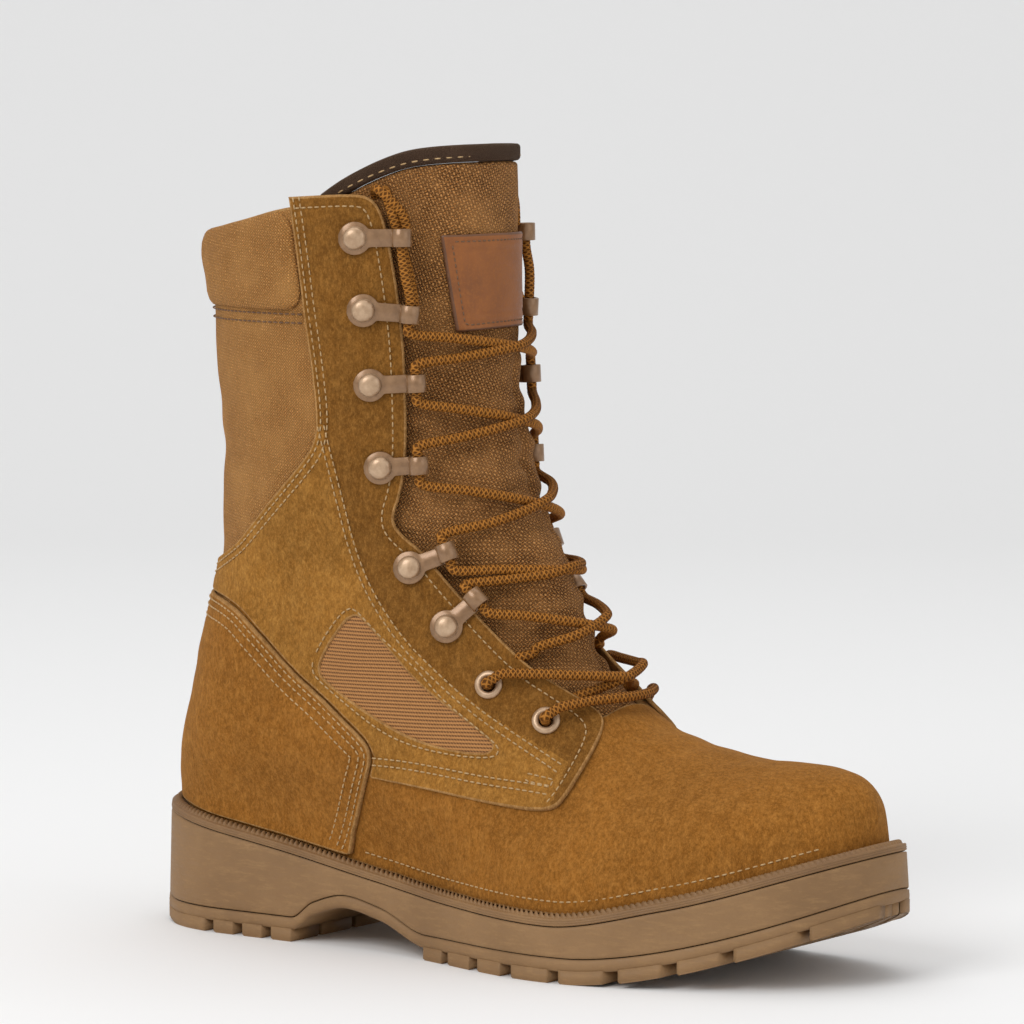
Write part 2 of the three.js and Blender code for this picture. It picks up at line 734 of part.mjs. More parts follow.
function makeCounter() {
  const under = [
    [-FAR, counterOutline.at(-1)[1]],
    [-FAR, -FAR],
    [counterOutline[0][0], -FAR],
  ];
  const outline = [...counterOutline, ...under];
  return overlay(COUNTER_THICKNESS, outline).intersect(aboveRibs);
}

function makeCuff() {
  const seam = heightAt(CUFF_SEAM);
  const rear = moved(onSide(FLAP_REAR), -3 * GAP, 0).filter(([, z]) => z > seam);
  const round = [
    [rear.at(-1)[0], seam],
    [-FAR, seam],
    [-FAR, FAR],
    [rear[0][0], FAR],
  ];
  const outline = [...rear, ...round];
  const top = sideCut([...moved(onSide(COLLAR), 0, -2 * GAP), [FAR, FAR], [-FAR, FAR]]);
  return overlay(CUFF_THICKNESS, outline).subtract(top);
}

// Tongue

// How far a side-view point lies in front of the throat's edge.
function frontOfThroat(x, z) {
  const spot = new THREE.Vector3(x, 0, z);
  const near = new THREE.Vector3();
  let best = Infinity;
  let sign = 1;
  for (let i = 0; i < throatLine.length - 1; i++) {
    const a = new THREE.Vector3(throatLine[i][0], 0, throatLine[i][1]);
    const b = new THREE.Vector3(throatLine[i + 1][0], 0, throatLine[i + 1][1]);
    new THREE.Line3(a, b).closestPointToPoint(spot, true, near);
    const distance = near.distanceTo(spot);
    if (distance < best) {
      best = distance;
      sign = Math.sign((b.x - a.x) * (z - a.z) - (b.z - a.z) * (x - a.x)) || 1;
    }
  }
  return best * sign;
}

function tongueRise(p) {
  return TONGUE_BULGE * smooth(BULGE_START, BULGE_FULL, frontOfThroat(p.x, p.z));
}

function tongueOutline(drop) {
  const top = TONGUE_TOP.map(({ x, z }) => [lastX(x), SHAFT_HEIGHT + TONGUE_RISE * z - drop]);
  return [...onSide(TONGUE_REAR), ...top, [FAR, top.at(-1)[1]], [FAR, onSide(TONGUE_REAR)[0][1]]];
}

function tongueShell(grow) {
  const outer = form((p) => tongueRise(p) - 2 * GAP + grow);
  const inner = form((p) => tongueRise(p) - 2 * GAP - TONGUE_THICKNESS - grow);
  return outer.subtract(inner);
}

function makeTongue() {
  return tongueShell(0).intersect(sideCut(tongueOutline(BINDING_BAND + GAP)));
}

function makeBinding() {
  const band = sideCut(tongueOutline(0)).subtract(sideCut(tongueOutline(BINDING_BAND)));
  const flapTop = heightAt(FLAP_FRONT[1].z) + GAP;
  const aboveFlap = sideCut([
    [0, flapTop],
    [FAR, flapTop],
    [FAR, FAR],
    [0, FAR],
  ]);
  return tongueShell(BINDING_ROLL).intersect(band).intersect(aboveFlap);
}

function makeLabel() {
  const shape = new THREE.Shape(
    LABEL.map(({ y, z }) => new THREE.Vector2(y * LAST_HALF, heightAt(z))),
  );
  const geometry = new THREE.ExtrudeGeometry(shape, { depth: FAR, bevelEnabled: false });
  geometry.rotateX(Math.PI / 2).rotateZ(Math.PI / 2).translate(lastX(LABEL_FROM), 0, 0);
  const sheet = form((p) => tongueRise(p) + LABEL_THICKNESS).subtract(form((p) => tongueRise(p)));
  return sheet.intersect(solid(geometry));
}

// Places on the upper

function probe(rings) {
  const mesh = new THREE.Mesh(geometryOf(loft(rings)));
  mesh.material.side = THREE.DoubleSide;
  mesh.updateMatrixWorld();
  return mesh;
}

const quarterFace = probe(formRings(WALL + GAP + OVERLAY));
const tongueFace = probe(formRings((p) => tongueRise(p)));

function hit(mesh, from, direction) {
  const found = new THREE.Raycaster(from, direction).intersectObject(mesh);
  return found.length ? { point: found[0].point, normal: found[0].face.normal.clone() } : null;
}

// Where a side-view place lies on the quarter's outside, and the way out from it.
function surfacePoint({ x, z }, side) {
  const from = new THREE.Vector3(lastX(x), side * FAR, heightAt(z));
  return hit(quarterFace, from, new THREE.Vector3(0, -side, 0));
}

function boreAt({ point, normal }, radius) {
  const geometry = new THREE.CylinderGeometry(radius, radius, FEATHER_UNDER + WALL, EYELET_SIDES);
  const turn = new THREE.Quaternion().setFromUnitVectors(new THREE.Vector3(0, 1, 0), normal);
  return solid(geometry.applyQuaternion(turn).translate(point.x, point.y, point.z));
}

// A turned piece on the quarter, its profile given as radius and height above the surface.
function turnedAt({ point, normal }, profile, sides) {
  const geometry = new THREE.LatheGeometry(profile.map(([r, h]) => new THREE.Vector2(r, h)), sides);
  const turn = new THREE.Quaternion().setFromUnitVectors(new THREE.Vector3(0, 1, 0), normal);
  return solid(geometry.applyQuaternion(turn).translate(point.x, point.y, point.z));
}

// Hooks

const LOOP_RADIUS = LACE_RADIUS + 3 * GAP + HOOK_THICKNESS / 2;

function hookFrame(row, side) {
  const stud = surfacePoint(row, side);
  const loop = surfacePoint({ x: row.loopX, z: row.loopZ }, side);
  const middle = surfacePoint({ x: (row.x + row.loopX) / 2, z: (row.z + row.loopZ) / 2 }, side);
  const along = loop.point.clone().sub(stud.point);
  const length = along.length();
  along.normalize();
  const out = middle.normal.clone();
  out.addScaledVector(along, -out.dot(along)).normalize();
  const across = new THREE.Vector3().crossVectors(out, along).normalize();
  const frame = { stud: stud.point, end: length - LOOP_SET_BACK, along, across, out };
  const lifts = PLATE_STEPS.map((share) => liftAt(frame, share * HOOK_PLATE, HOOK_PLATE));
  frame.plateLift = Math.max(...lifts);
  return frame;
}

// Height over the stud's plane at which a strap of a half-width lies clear of the quarter.
function liftAt(frame, u, half) {
  const heights = [-1, -0.5, 0, 0.5, 1].map((v) => {
    const spot = frame.stud.clone().addScaledVector(frame.along, u).addScaledVector(frame.across, v * half);
    const above = spot.clone().addScaledVector(frame.out, LAST_HALF);
    const found = hit(quarterFace, above, frame.out.clone().negate());
    return found ? found.point.sub(spot).dot(frame.out) : 0;
  });
  return Math.max(...heights) + GAP + HOOK_THICKNESS / 2;
}

function strapLift(frame, u) {
  return u < HOOK_PLATE ? frame.plateLift : liftAt(frame, Math.min(u, frame.end), HOOK_STRAP);
}

function makeHook(frame) {
  const path = [];
  for (const share of PLATE_STEPS) {
    const u = share * HOOK_PLATE;
    path.push({ u, h: 0, half: Math.max(Math.sqrt(HOOK_PLATE ** 2 - u ** 2), HOOK_STRAP * PLATE_TIP) });
  }
  for (const share of STRAP_STEPS) path.push({ u: share * frame.end, h: 0, half: HOOK_STRAP });
  for (let i = 0; i < LOOP_STEPS; i++) {
    const angle = -Math.PI / 2 + (i / (LOOP_STEPS - 1)) * LOOP_TURN;
    const u = frame.end + LOOP_RADIUS * Math.cos(angle);
    path.push({ u, h: LOOP_RADIUS * (1 + Math.sin(angle)), half: HOOK_STRAP, bend: true });
  }
  const place = ({ u, h, bend }) =>
    frame.stud
      .clone()
      .addScaledVector(frame.along, u)
      .addScaledVector(frame.out, strapLift(frame, bend ? frame.end : u) + h);
  const rings = path.map((step, i) => {
    const before = path[Math.max(i - 1, 0)];
    const after = path[Math.min(i + 1, path.length - 1)];
    const here = place(step);
    const run = place(after).sub(place(before)).normalize();
    const up = new THREE.Vector3().crossVectors(run, frame.across).normalize();
    const corner = (a, b) =>
      here
        .clone()
        .addScaledVector(frame.across, a * step.half)
        .addScaledVector(up, (b * HOOK_THICKNESS) / 2);
    return [corner(-1, -1), corner(1, -1), corner(1, 1), corner(-1, 1)];
  });
  return loft(rings);
}

function loopCentre(frame) {
  return frame.stud
    .clone()
    .addScaledVector(frame.along, frame.end)
    .addScaledVector(frame.out, strapLift(frame, frame.end) + LOOP_RADIUS);
}

function makeRivet(frame) {
  const base = frame.plateLift + HOOK_THICKNESS / 2 + GAP;
  const seat = { point: frame.stud, normal: frame.out };
  const profile = DOME.map(({ radius, height }) => [radius * RIVET_RADIUS, base + height * RIVET_HEIGHT]);
  return turnedAt(seat, profile, RIVET_SIDES);
}

function makeEyelet(seat) {
  const low = 3 * GAP;
  const high = low + EYELET_THICKNESS;
  const profile = [
    [EYELET_BORE, low],
    [EYELET_OUTER, low],
    [EYELET_OUTER * RIM_SHARE, high],
    [EYELET_BORE * BORE_FLARE, high],
    [EYELET_BORE, low],
  ];
  return turnedAt(seat, profile, EYELET_SIDES);
}

// Laces

// A lace with a ring of its section at each point.
function lace(points) {
  const path = new THREE.CatmullRomCurve3(points, false, "centripetal");
  const side = new THREE.Vector3(1, 0, 0);
  const rings = points.map((point, i) => {
    const way = path.getTangent(i / (points.length - 1));
    side.addScaledVector(way, -side.dot(way)).normalize();
    const up = new THREE.Vector3().crossVectors(way, side);
    return Array.from({ length: LACE_SIDES }, (_, k) => {
      const angle = ((k + 0.5) / LACE_SIDES) * 2 * Math.PI;
      return point
        .clone()
        .addScaledVector(side, LACE_RADIUS * Math.cos(angle))
        .addScaledVector(up, LACE_RADIUS * Math.sin(angle));
    });
  });
  return loft(rings);
}

// Keeps a point at least one lace in front of the faces given.
function inFrontOf(faces, point, lift) {
  let best = point;
  for (const face of faces) {
    const from = new THREE.Vector3(FAR, point.y, point.z);
    const found = hit(face, from, new THREE.Vector3(-1, 0, 0));
    if (!found) continue;
    const clear = found.point.addScaledVector(found.normal, LACE_RADIUS + 5 * GAP + lift);
    if (clear.x > best.x) best = clear;
  }
  return best;
}

function strand(low, high, lift) {
  const legs = [HOOK_STRAP + 2 * GAP, HOOK_STRAP + LACE_DIAMETER * LEG_LENGTH];
  const clear = (end, point) => (end.onTongue ? inFrontOf([tongueFace], point, 0) : point);
  const from = legs.map((leg) => clear(low, low.point.clone().addScaledVector(low.way, leg)));
  const to = legs.map((leg) => high.point.clone().addScaledVector(high.way, leg)).reverse();
  const middle = STRAND_STEPS.map((share) => {
    const crossing = Math.exp(-(((share - 0.5) / CROSSING_WIDTH) ** 2));
    return inFrontOf([tongueFace, quarterFace], from[1].clone().lerp(to[0], share), lift * crossing);
  });
  return lace([low.point, ...from, ...middle, ...to, high.point]);
}

const SIDES = [
  { side: -1, name: "outer" },
  { side: 1, name: "inner" },
];
const hookFrames = Object.fromEntries(
  SIDES.map(({ side }) => [side, HOOKS.map((row) => hookFrame(row, side))]),
);
const eyeletSeats = Object.fromEntries(
  SIDES.map(({ side }) => [side, EYELETS.map((row) => surfacePoint(row, side))]),
);

// Ends of the strands: each has a point and the way the lace leaves it.

// Where a strand comes out from under the flap beside an eyelet.
function flapEnd(row, side) {
  const spot = surfacePoint({ x: row.edgeX, z: row.edgeZ }, side).point;
  spot.y -= side * LACE_DIAMETER * TUCK;
  spot.x = 0;
  const way = new THREE.Vector3(LEAVE_FORWARD, -side, LEAVE_UP).normalize();
  return { point: inFrontOf([tongueFace], spot, 0), way, onTongue: true };
}

function loopEnd(frame, up) {
  const way = frame.across.clone().multiplyScalar(Math.sign(frame.across.z) * up);
  return { point: loopCentre(frame).addScaledVector(way, GAP), way };
}

// Where a strand ends over an eyelet's hole.
function eyeletEnd(seat, side) {
  const high = 5 * GAP + EYELET_THICKNESS + LACE_RADIUS;
  const way = new THREE.Vector3(LEAVE_FORWARD, -side, LEAVE_UP);
  way.addScaledVector(seat.normal, -way.dot(seat.normal)).normalize();
  return { point: seat.point.clone().addScaledVector(seat.normal, high), way };
}

function bothSides(make) {
  return { outer: make(-1), inner: make(1) };
}

const LEVELS = [
  {
    low: bothSides((side) => flapEnd(EYELETS[1], side)),
    high: bothSides((side) => eyeletEnd(eyeletSeats[side][0], side)),
  },
  {
    low: bothSides((side) => flapEnd(EYELETS[0], side)),
    high: bothSides((side) => loopEnd(hookFrames[side].at(-1), -1)),
  },
];
for (let hook = HOOKS.length - 1; hook > 1; hook--) {
  LEVELS.push({
    low: bothSides((side) => loopEnd(hookFrames[side][hook], 1)),
    high: bothSides((side) => loopEnd(hookFrames[side][hook - 1], -1)),
  });
}

function makeCrossing({ low, high }) {
  const over = strand(low.outer, high.inner, LACE_DIAMETER * CROSSING_RISE);
  return over.add(strand(low.inner, high.outer, 0));
}

function makeBar() {
  const ends = bothSides((side) => eyeletEnd(eyeletSeats[side][1], side));
  return strand(ends.outer, ends.inner, 0);
}

function makeRiser(side) {
  const [top, second] = hookFrames[side];
  const low = loopEnd(second, 1);
  const high = loopEnd(top, -1);
  const leg = HOOK_STRAP + LACE_RADIUS;
  const bow = low.point.clone().lerp(high.point, 0.5).addScaledVector(top.out, 3 * GAP);
  const lowLeg = low.point.clone().addScaledVector(low.way, leg);
  const highLeg = high.point.clone().addScaledVector(high.way, leg);
  return lace([low.point, lowLeg, bow, highLeg, high.point]);
}

// Assembly

const boot = new THREE.Group();

function add(name, body, material) {
  const mesh = new THREE.Mesh(geometryOf(body), material);
  mesh.name = name;
  boot.add(mesh);
}

add("outsole", makeOutsole(), MATERIALS.rubber);
add("midsole", makeMidsole(), MATERIALS.rubber);
add("welt", makeWelt(), MATERIALS.rubber);
add("insole", makeInsole(), MATERIALS.lining);
add("upper", makeUpper(), MATERIALS.suede);
add("quarter_outer", makeQuarter(-1), MATERIALS.suedeDark);
add("quarter_inner", makeQuarter(1), MATERIALS.suedeDark);
add("heel_counter", makeCounter(), MATERIALS.suede);
add("collar_cuff", makeCuff(), MATERIALS.fabric);
add("tongue", makeTongue(), MATERIALS.fabric);
add("tongue_binding", makeBinding(), MATERIALS.binding);
add("tongue_label", makeLabel(), MATERIALS.patch);
for (const { side, name } of SIDES) {
  hookFrames[side].forEach((frame, i) => {
    add(`hook_${name}_${i + 1}`, makeHook(frame), MATERIALS.hardware);
    add(`rivet_${name}_${i + 1}`, makeRivet(frame), MATERIALS.hardware);
  });
  eyeletSeats[side].forEach((seat, i) => {
    add(`eyelet_${name}_${i + 1}`, makeEyelet(seat), MATERIALS.hardware);
  });
  add(`lace_riser_${name}`, makeRiser(side), MATERIALS.lace);
}
LEVELS.forEach((level, i) => add(`lace_crossing_${i + 1}`, makeCrossing(level), MATERIALS.lace));
add("lace_bar", makeBar(), MATERIALS.lace);

const box = new THREE.Box3().setFromObject(boot);
boot.position.set(-(box.min.x + box.max.x) / 2, -(box.min.y + box.max.y) / 2, -box.min.z);

export default boot;
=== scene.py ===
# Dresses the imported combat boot: finer upper, panels, tongue, laces, hooks, stitches and sole.
# Lengths are in millimetres in the part's own layout (x from the heel's back, z from the floor) and are
# turned into metres in the row frame when a mesh is made.
import math
import bpy
import numpy as np
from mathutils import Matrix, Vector
from mathutils.bvhtree import BVHTree
from mathutils.geometry import delaunay_2d_cdt


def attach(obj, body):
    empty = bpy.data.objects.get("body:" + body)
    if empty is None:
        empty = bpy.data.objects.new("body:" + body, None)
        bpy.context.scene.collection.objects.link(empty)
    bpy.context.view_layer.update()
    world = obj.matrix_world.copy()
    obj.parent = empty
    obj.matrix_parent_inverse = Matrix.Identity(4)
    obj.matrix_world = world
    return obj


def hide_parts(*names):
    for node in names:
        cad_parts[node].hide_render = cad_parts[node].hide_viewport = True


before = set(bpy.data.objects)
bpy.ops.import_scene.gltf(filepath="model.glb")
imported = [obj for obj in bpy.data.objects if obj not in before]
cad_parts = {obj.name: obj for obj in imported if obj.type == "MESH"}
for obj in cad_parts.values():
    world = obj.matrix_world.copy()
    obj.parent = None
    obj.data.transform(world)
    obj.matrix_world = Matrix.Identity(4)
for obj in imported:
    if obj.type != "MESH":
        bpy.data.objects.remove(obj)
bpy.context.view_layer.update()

# Sizes of the part, in millimetres
SOLE_LENGTH = 308.0
BALL_HALF = 57.0
HEEL_ROUND = 48.0
TOE_ROUND = 88.0
TOE_SWING = 12.0
TREAD_DEPTH = 4.4
PLATE_THICKNESS = 4.6
ARCH_RISE = 10.4
TOE_SPRING = 24.8
HEEL_BEVEL = 3.0
LIP_HEIGHT = 47.0
WELT_THICKNESS = 2.75
WELT_WIDTH = 13.0
RIB_HEIGHT = 1.9
RIB_PITCH = 2.24
INSOLE_THICKNESS = 4.0
LAST_INSET = 9.8
LAST_HALF = 46.0
INSTEP_HEIGHT = 102.0
INSTEP_SHARE = 0.385
SHAFT_HEIGHT = 265.0
LAST_LENGTH = SOLE_LENGTH - 2 * LAST_INSET
WALL = 2.8
OVERLAY_TOP = 4.6
COUNTER_TOP = 5.0
CUFF_TOP = 5.5
FEATHER_UNDER = 9.0
FEATHER_LOW = 4.0
FEATHER_HIGH = 42.0
TONGUE_THICKNESS = 4.0
TONGUE_RISE = 32.0
TONGUE_BULGE = 6.5
BULGE_START = 9.2
BULGE_FULL = 22.0
BINDING_BAND = 6.0
LACE_RADIUS = 1.75
HOOK_PLATE = 6.0
HOOK_STRAP = 3.25
HOOK_THICKNESS = 1.0
LOOP_SET_BACK = 1.24
RIVET_RADIUS = 4.35
RIVET_HEIGHT = 2.4
EYELET_BORE = 2.7
EYELET_THICKNESS = 1.3
GAP = 0.3
CAD_STATIONS = 17
CATMULL_STEPS = 16

# The sole along its length: place, then half-widths as shares of BALL_HALF, swing, lip and arch
OUTLINE = np.array([
    [0, 0.684, 0.684],
    [0.13, 0.684, 0.684],
    [0.38, 0.702, 0.649],
    [0.66, 1.018, 0.982],
    [0.84, 0.912, 0.895],
    [1, 0.885, 0.868],
])
SWING = np.array([[0, 0], [0.3, 0], [0.66, 0.083], [1, 1]])
LIP = np.array([[0, 1], [0.22, 0.787], [0.5, 0.519], [0.66, 0.485], [0.8, 0.653], [1, 1.064]])
ARCH = np.array([[0, 0], [0.252, 0], [0.285, 0.62], [0.334, 1], [0.385, 0.72], [0.462, 0], [1, 0]])
HEEL_END = 0.254
FOREFOOT_START = 0.461
SLOTS = np.array([
    [0.127, 0.013], [0.172, 0.013], [0.216, 0.013], [0.5, 0.01], [0.552, 0.013], [0.607, 0.016],
    [0.676, 0.013], [0.747, 0.016], [0.812, 0.016], [0.873, 0.013], [0.945, 0.01],
])

# Vamp sections: x, z, foot x, outer, inner, reach, heel, swing, foot swing
VAMP = np.array([
    [1.0, 0.219, 1.0, 0.98, 0.955, 0.48, 0, 1, 1],
    [0.996, 0.236, 0.996, 0.98, 0.955, 0.5, 0, 1, 1],
    [0.984, 0.2549, 0.984, 0.98, 0.955, 0.56, 0, 1, 1],
    [0.961, 0.268, 0.961, 0.98, 0.955, 0.65, 0, 1, 0.9],
    [0.923, 0.2745, 0.923, 1, 0.955, 0.76, 0, 1, 0.83],
    [0.857, 0.2749, 0.857, 1.04, 1, 0.91, 0, 0.92, 0.58],
    [0.791, 0.283, 0.784, 1.065, 1.02, 1.07, 0, 0.83, 0.33],
    [0.722, 0.3038, 0.687, 1.04, 1, 1.26, 0, 0.67, 0.17],
    [0.666, 0.3342, 0.562, 0.98, 0.935, 1.39, 0, 0.5, 0.08],
    [0.625, 0.385, 0.417, 0.89, 0.85, 1.48, 0, 0.33, 0],
    [0.587, 0.4454, 0.237, 0.85, 0.8, 1.57, 0, 0.25, 0],
    [0.554, 0.498, 0.07, 0.85, 0.8, 1.57, 0.43, 0.17, 0],
])

# Shaft sections: x, z, back x, back z, outer, inner, reach, heel, swing
SHAFT = np.array([
    [0.531, 0.54, 0.002, 0.128, 0.85, 0.8, 1.52, 0.98, 0.1],
    [0.514, 0.574, 0.0094, 0.226, 0.85, 0.8, 1.43, 1.09, 0],
    [0.497, 0.615, 0.034, 0.347, 0.85, 0.8, 1.35, 1.13, 0],
    [0.483, 0.657, 0.058, 0.46, 0.87, 0.85, 1.3, 1.17, 0],
    [0.472, 0.706, 0.075, 0.551, 0.91, 0.89, 1.26, 1.22, 0],
    [0.464, 0.766, 0.075, 0.66, 0.955, 0.935, 1.24, 1.26, 0],
    [0.458, 0.842, 0.068, 0.777, 0.98, 0.955, 1.24, 1.3, 0],
    [0.455, 0.928, 0.061, 0.891, 1, 0.98, 1.24, 1.3, 0],
    [0.452, 1.019, 0.054, 1.011, 1, 0.98, 1.24, 1.3, 0],
    [0.448, 1.15, 0.051, 1.15, 1, 0.98, 1.24, 1.3, 0],
])

# Side-view outlines: x as a share of the last, z as a share of the height to the collar
THROAT = [
    (0.362, 1.2), (0.385, 0.92), (0.392, 0.75), (0.39, 0.64), (0.38, 0.59), (0.402, 0.56), (0.445, 0.505),
    (0.49, 0.453), (0.55, 0.402), (0.61, 0.363), (0.655, 0.34), (0.8, 0.42),
]
COLLAR = [(-0.1, 0.981), (0.08, 0.989), (0.178, 1.006), (0.264, 1.028), (0.5, 1.05)]
FLAP_REAR = [
    (0.267, 1.04), (0.278, 0.97), (0.289, 0.887), (0.299, 0.804), (0.305, 0.735), (0.298, 0.7),
    (0.277, 0.674), (0.233, 0.629), (0.184, 0.581), (0.15, 0.552), (0.07, 0.518), (-0.1, 0.505),
]
FLAP_FRONT = [
    (0.267, 1.04), (0.357, 1.046), (0.377, 1.04), (0.388, 1.02), (0.397, 0.975), (0.407, 0.9),
    (0.413, 0.81), (0.416, 0.7), (0.41, 0.64), (0.397, 0.598), (0.413, 0.578), (0.44, 0.557),
    (0.498, 0.48), (0.57, 0.407), (0.608, 0.383), (0.653, 0.351), (0.668, 0.328), (0.67, 0.292),
    (0.66, 0.245), (0.646, 0.219), (0.54, 0.226), (0.465, 0.235), (0.37, 0.243),
]
COUNTER_EDGE = [
    (0.314, -0.1), (0.314, 0.13), (0.352, 0.208), (0.376, 0.27), (0.366, 0.292), (0.34, 0.313),
    (0.295, 0.351), (0.247, 0.387), (0.198, 0.434), (0.15, 0.472), (0.07, 0.482), (-0.1, 0.485),
]
VENT = [
    (0.29, 0.388), (0.315, 0.432), (0.345, 0.468), (0.36, 0.466), (0.407, 0.411), (0.452, 0.367),
    (0.531, 0.316), (0.55, 0.302), (0.545, 0.29), (0.49, 0.292), (0.428, 0.305), (0.36, 0.338),
    (0.31, 0.368),
]
TONGUE_REAR = [
    (0.71, 0.25), (0.6, 0.32), (0.5, 0.395), (0.42, 0.47), (0.365, 0.55), (0.345, 0.7), (0.33, 0.9),
    (0.32, 0.97), (0.31, 1.03),
]
TONGUE_TOP = [(0.305, 0.35), (0.34, 0.55), (0.385, 0.75), (0.43, 0.9), (0.5, 0.95), (0.8, 1)]
CUFF_SEAM = 0.885
HOOKS = [
    (0.358, 0.985, 0.412, 0.986), (0.368, 0.887, 0.42, 0.882), (0.375, 0.785, 0.427, 0.788),
    (0.386, 0.672, 0.432, 0.677), (0.424, 0.536, 0.47, 0.558), (0.472, 0.457, 0.505, 0.497),
]
EYELETS = [(0.531, 0.381, 0.56, 0.415), (0.607, 0.336, 0.635, 0.364)]

# Front view of the label: y as a share of LAST_HALF, z as a share of the height to the collar
LABEL = [(-0.49, 0.989), (0.45, 0.989), (0.49, 0.858), (-0.4, 0.855)]

# Stitch rows in the side view
SEAM_ROW = [
    (0.306, 0.728), (0.316, 0.68), (0.327, 0.626), (0.339, 0.566), (0.36, 0.512), (0.386, 0.47),
    (0.413, 0.43), (0.455, 0.39), (0.51, 0.345), (0.565, 0.312), (0.64, 0.27),
]
SIDE_ROW = [
    (0.374, 0.262), (0.42, 0.262), (0.48, 0.257), (0.54, 0.25), (0.6, 0.246), (0.638, 0.242),
]
BARTACK = [(0.6, 0.268), (0.636, 0.262), (0.636, 0.253), (0.6, 0.258), (0.6, 0.268)]


# Curves and shapes

def curve(places, values, at):
    """Smooth curve through a table's rows, with no overshoot."""
    places = np.asarray(places, float)
    values = np.asarray(values, float)
    at = np.asarray(at, float)
    step = np.diff(places)
    slope = np.diff(values) / step
    tangent = np.zeros(len(places))
    tangent[0], tangent[-1] = slope[0], slope[-1]
    for i in range(1, len(places) - 1):
        if slope[i - 1] * slope[i] > 0:
            a = 2 * step[i] + step[i - 1]
            b = step[i] + 2 * step[i - 1]
            tangent[i] = (a + b) / (a / slope[i - 1] + b / slope[i])
    i = np.clip(np.searchsorted(places, at, side="right") - 1, 0, len(places) - 2)
    t = np.clip((at - places[i]) / step[i], 0, 1)
    low = (1 + 2 * t) * (1 - t) ** 2 * values[i] + t * (1 - t) ** 2 * step[i] * tangent[i]
    high = t * t * (3 - 2 * t) * values[i + 1] + t * t * (t - 1) * step[i] * tangent[i + 1]
    return low + high


def rounded(distance, reach, power):
    x = np.clip(distance / reach, 0, 1)
    return np.maximum(0, 1 - (1 - x) ** power) ** (1 / power)


def smooth(low, high, value):
    t = np.clip((value - low) / (high - low), 0, 1)
    return t * t * (3 - 2 * t)


def height_at(share):
    """Height of a share of the way to the collar. The instep lies at INSTEP_SHARE."""
    share = np.asarray(share, float)
    above = (share - INSTEP_SHARE) / (1 - INSTEP_SHARE)
    low = share / INSTEP_SHARE * INSTEP_HEIGHT
    return np.where(share <= INSTEP_SHARE, low, INSTEP_HEIGHT + above * (SHAFT_HEIGHT - INSTEP_HEIGHT))


def last_x(share):
    """Place along the boot of a share of the last's length."""
    return LAST_INSET + np.asarray(share, float) * LAST_LENGTH


def on_side(rows):
    """Shares in a side-view table as millimetres."""
    rows = np.asarray(rows, float)
    return np.stack([last_x(rows[:, 0]), height_at(rows[:, 1])], 1)


def softened(points, rounds=3, closed=False):
    """The same polyline with its corners cut round."""
    points = np.asarray(points, float)
    for _ in range(rounds):
        after = np.roll(points, -1, 0) if closed else points[1:]
        before = points if closed else points[:-1]
        cut = np.stack([0.75 * before + 0.25 * after, 0.25 * before + 0.75 * after], 1)
        cut = cut.reshape(-1, points.shape[1])
        points = cut if closed else np.vstack([points[:1], cut, points[-1:]])
    return points


def resampled(points, spacing, closed=False):
    points = np.asarray(points, float)
    if closed:
        points = np.vstack([points, points[:1]])
    run = np.concatenate([[0], np.cumsum(np.linalg.norm(np.diff(points, axis=0), axis=1))])
    count = max(int(round(run[-1] / spacing)), 3)
    at = np.linspace(0, run[-1], count + 1)
    made = np.stack([np.interp(at, run, points[:, k]) for k in range(points.shape[1])], 1)
    return made[:-1] if closed else made


def line_distance(points, line):
    """Distance of each point from a polyline, both in the same plane."""
    best = np.full(len(points), 1e9)
    for start, step in zip(line[:-1], np.diff(line, axis=0)):
        share = np.clip(((points - start) @ step) / max(step @ step, 1e-9), 0, 1)
        best = np.minimum(best, np.linalg.norm(points - start - share[:, None] * step, axis=1))
    return best


def inside_loop(points, loop):
    x, y = points[:, 0], points[:, 1]
    inside = np.zeros(len(points), bool)
    for a, b in zip(loop, np.roll(loop, -1, 0)):
        crosses = (a[1] > y) != (b[1] > y)
        if crosses.any():
            at = a[0] + (y - a[1]) * (b[0] - a[0]) / (b[1] - a[1] if b[1] != a[1] else 1e-9)
            inside ^= crosses & (x < at)
    return inside


def waves(points, length, seed, count=9):
    """Soft irregular swells, from about -1 to 1."""
    source = np.random.default_rng(seed)
    total = np.zeros(len(points))
    for _ in range(count):
        way = source.normal(size=3)
        way /= np.linalg.norm(way)
        stretch = source.uniform(0.7, 1.5)
        total += np.sin(points @ way * 2 * math.pi / (length * stretch) + source.uniform(0, 6.28))
    return total / math.sqrt(count)


# Sole lines

def sole_centre(x):
    return TOE_SWING * curve(SWING[:, 0], SWING[:, 1], x / SOLE_LENGTH)


def sole_half(x, sign, inset):
    outer = curve(OUTLINE[:, 0], OUTLINE[:, 1], x / SOLE_LENGTH)
    inner = curve(OUTLINE[:, 0], OUTLINE[:, 2], x / SOLE_LENGTH)
    width = BALL_HALF * np.where(np.asarray(sign) < 0, outer, inner)
    heel = rounded(x - inset, HEEL_ROUND - inset, 2.2)
    toe = rounded(SOLE_LENGTH - inset - x, TOE_ROUND - inset, 2.2)
    return (width - inset) * heel * toe


def floor_height(x):
    toe = np.clip((x / SOLE_LENGTH - 0.69) / 0.31, 0, 1)
    heel = np.clip(1 - x / SOLE_LENGTH / 0.06, 0, 1)
    return TOE_SPRING * toe ** 1.7 + HEEL_BEVEL * heel ** 1.5


def arch_height(x):
    return ARCH_RISE * curve(ARCH[:, 0], ARCH[:, 1], x / SOLE_LENGTH)


def plate_bottom(x):
    return floor_height(x) + TREAD_DEPTH + arch_height(x)


def plate_top(x):
    return plate_bottom(x) + PLATE_THICKNESS


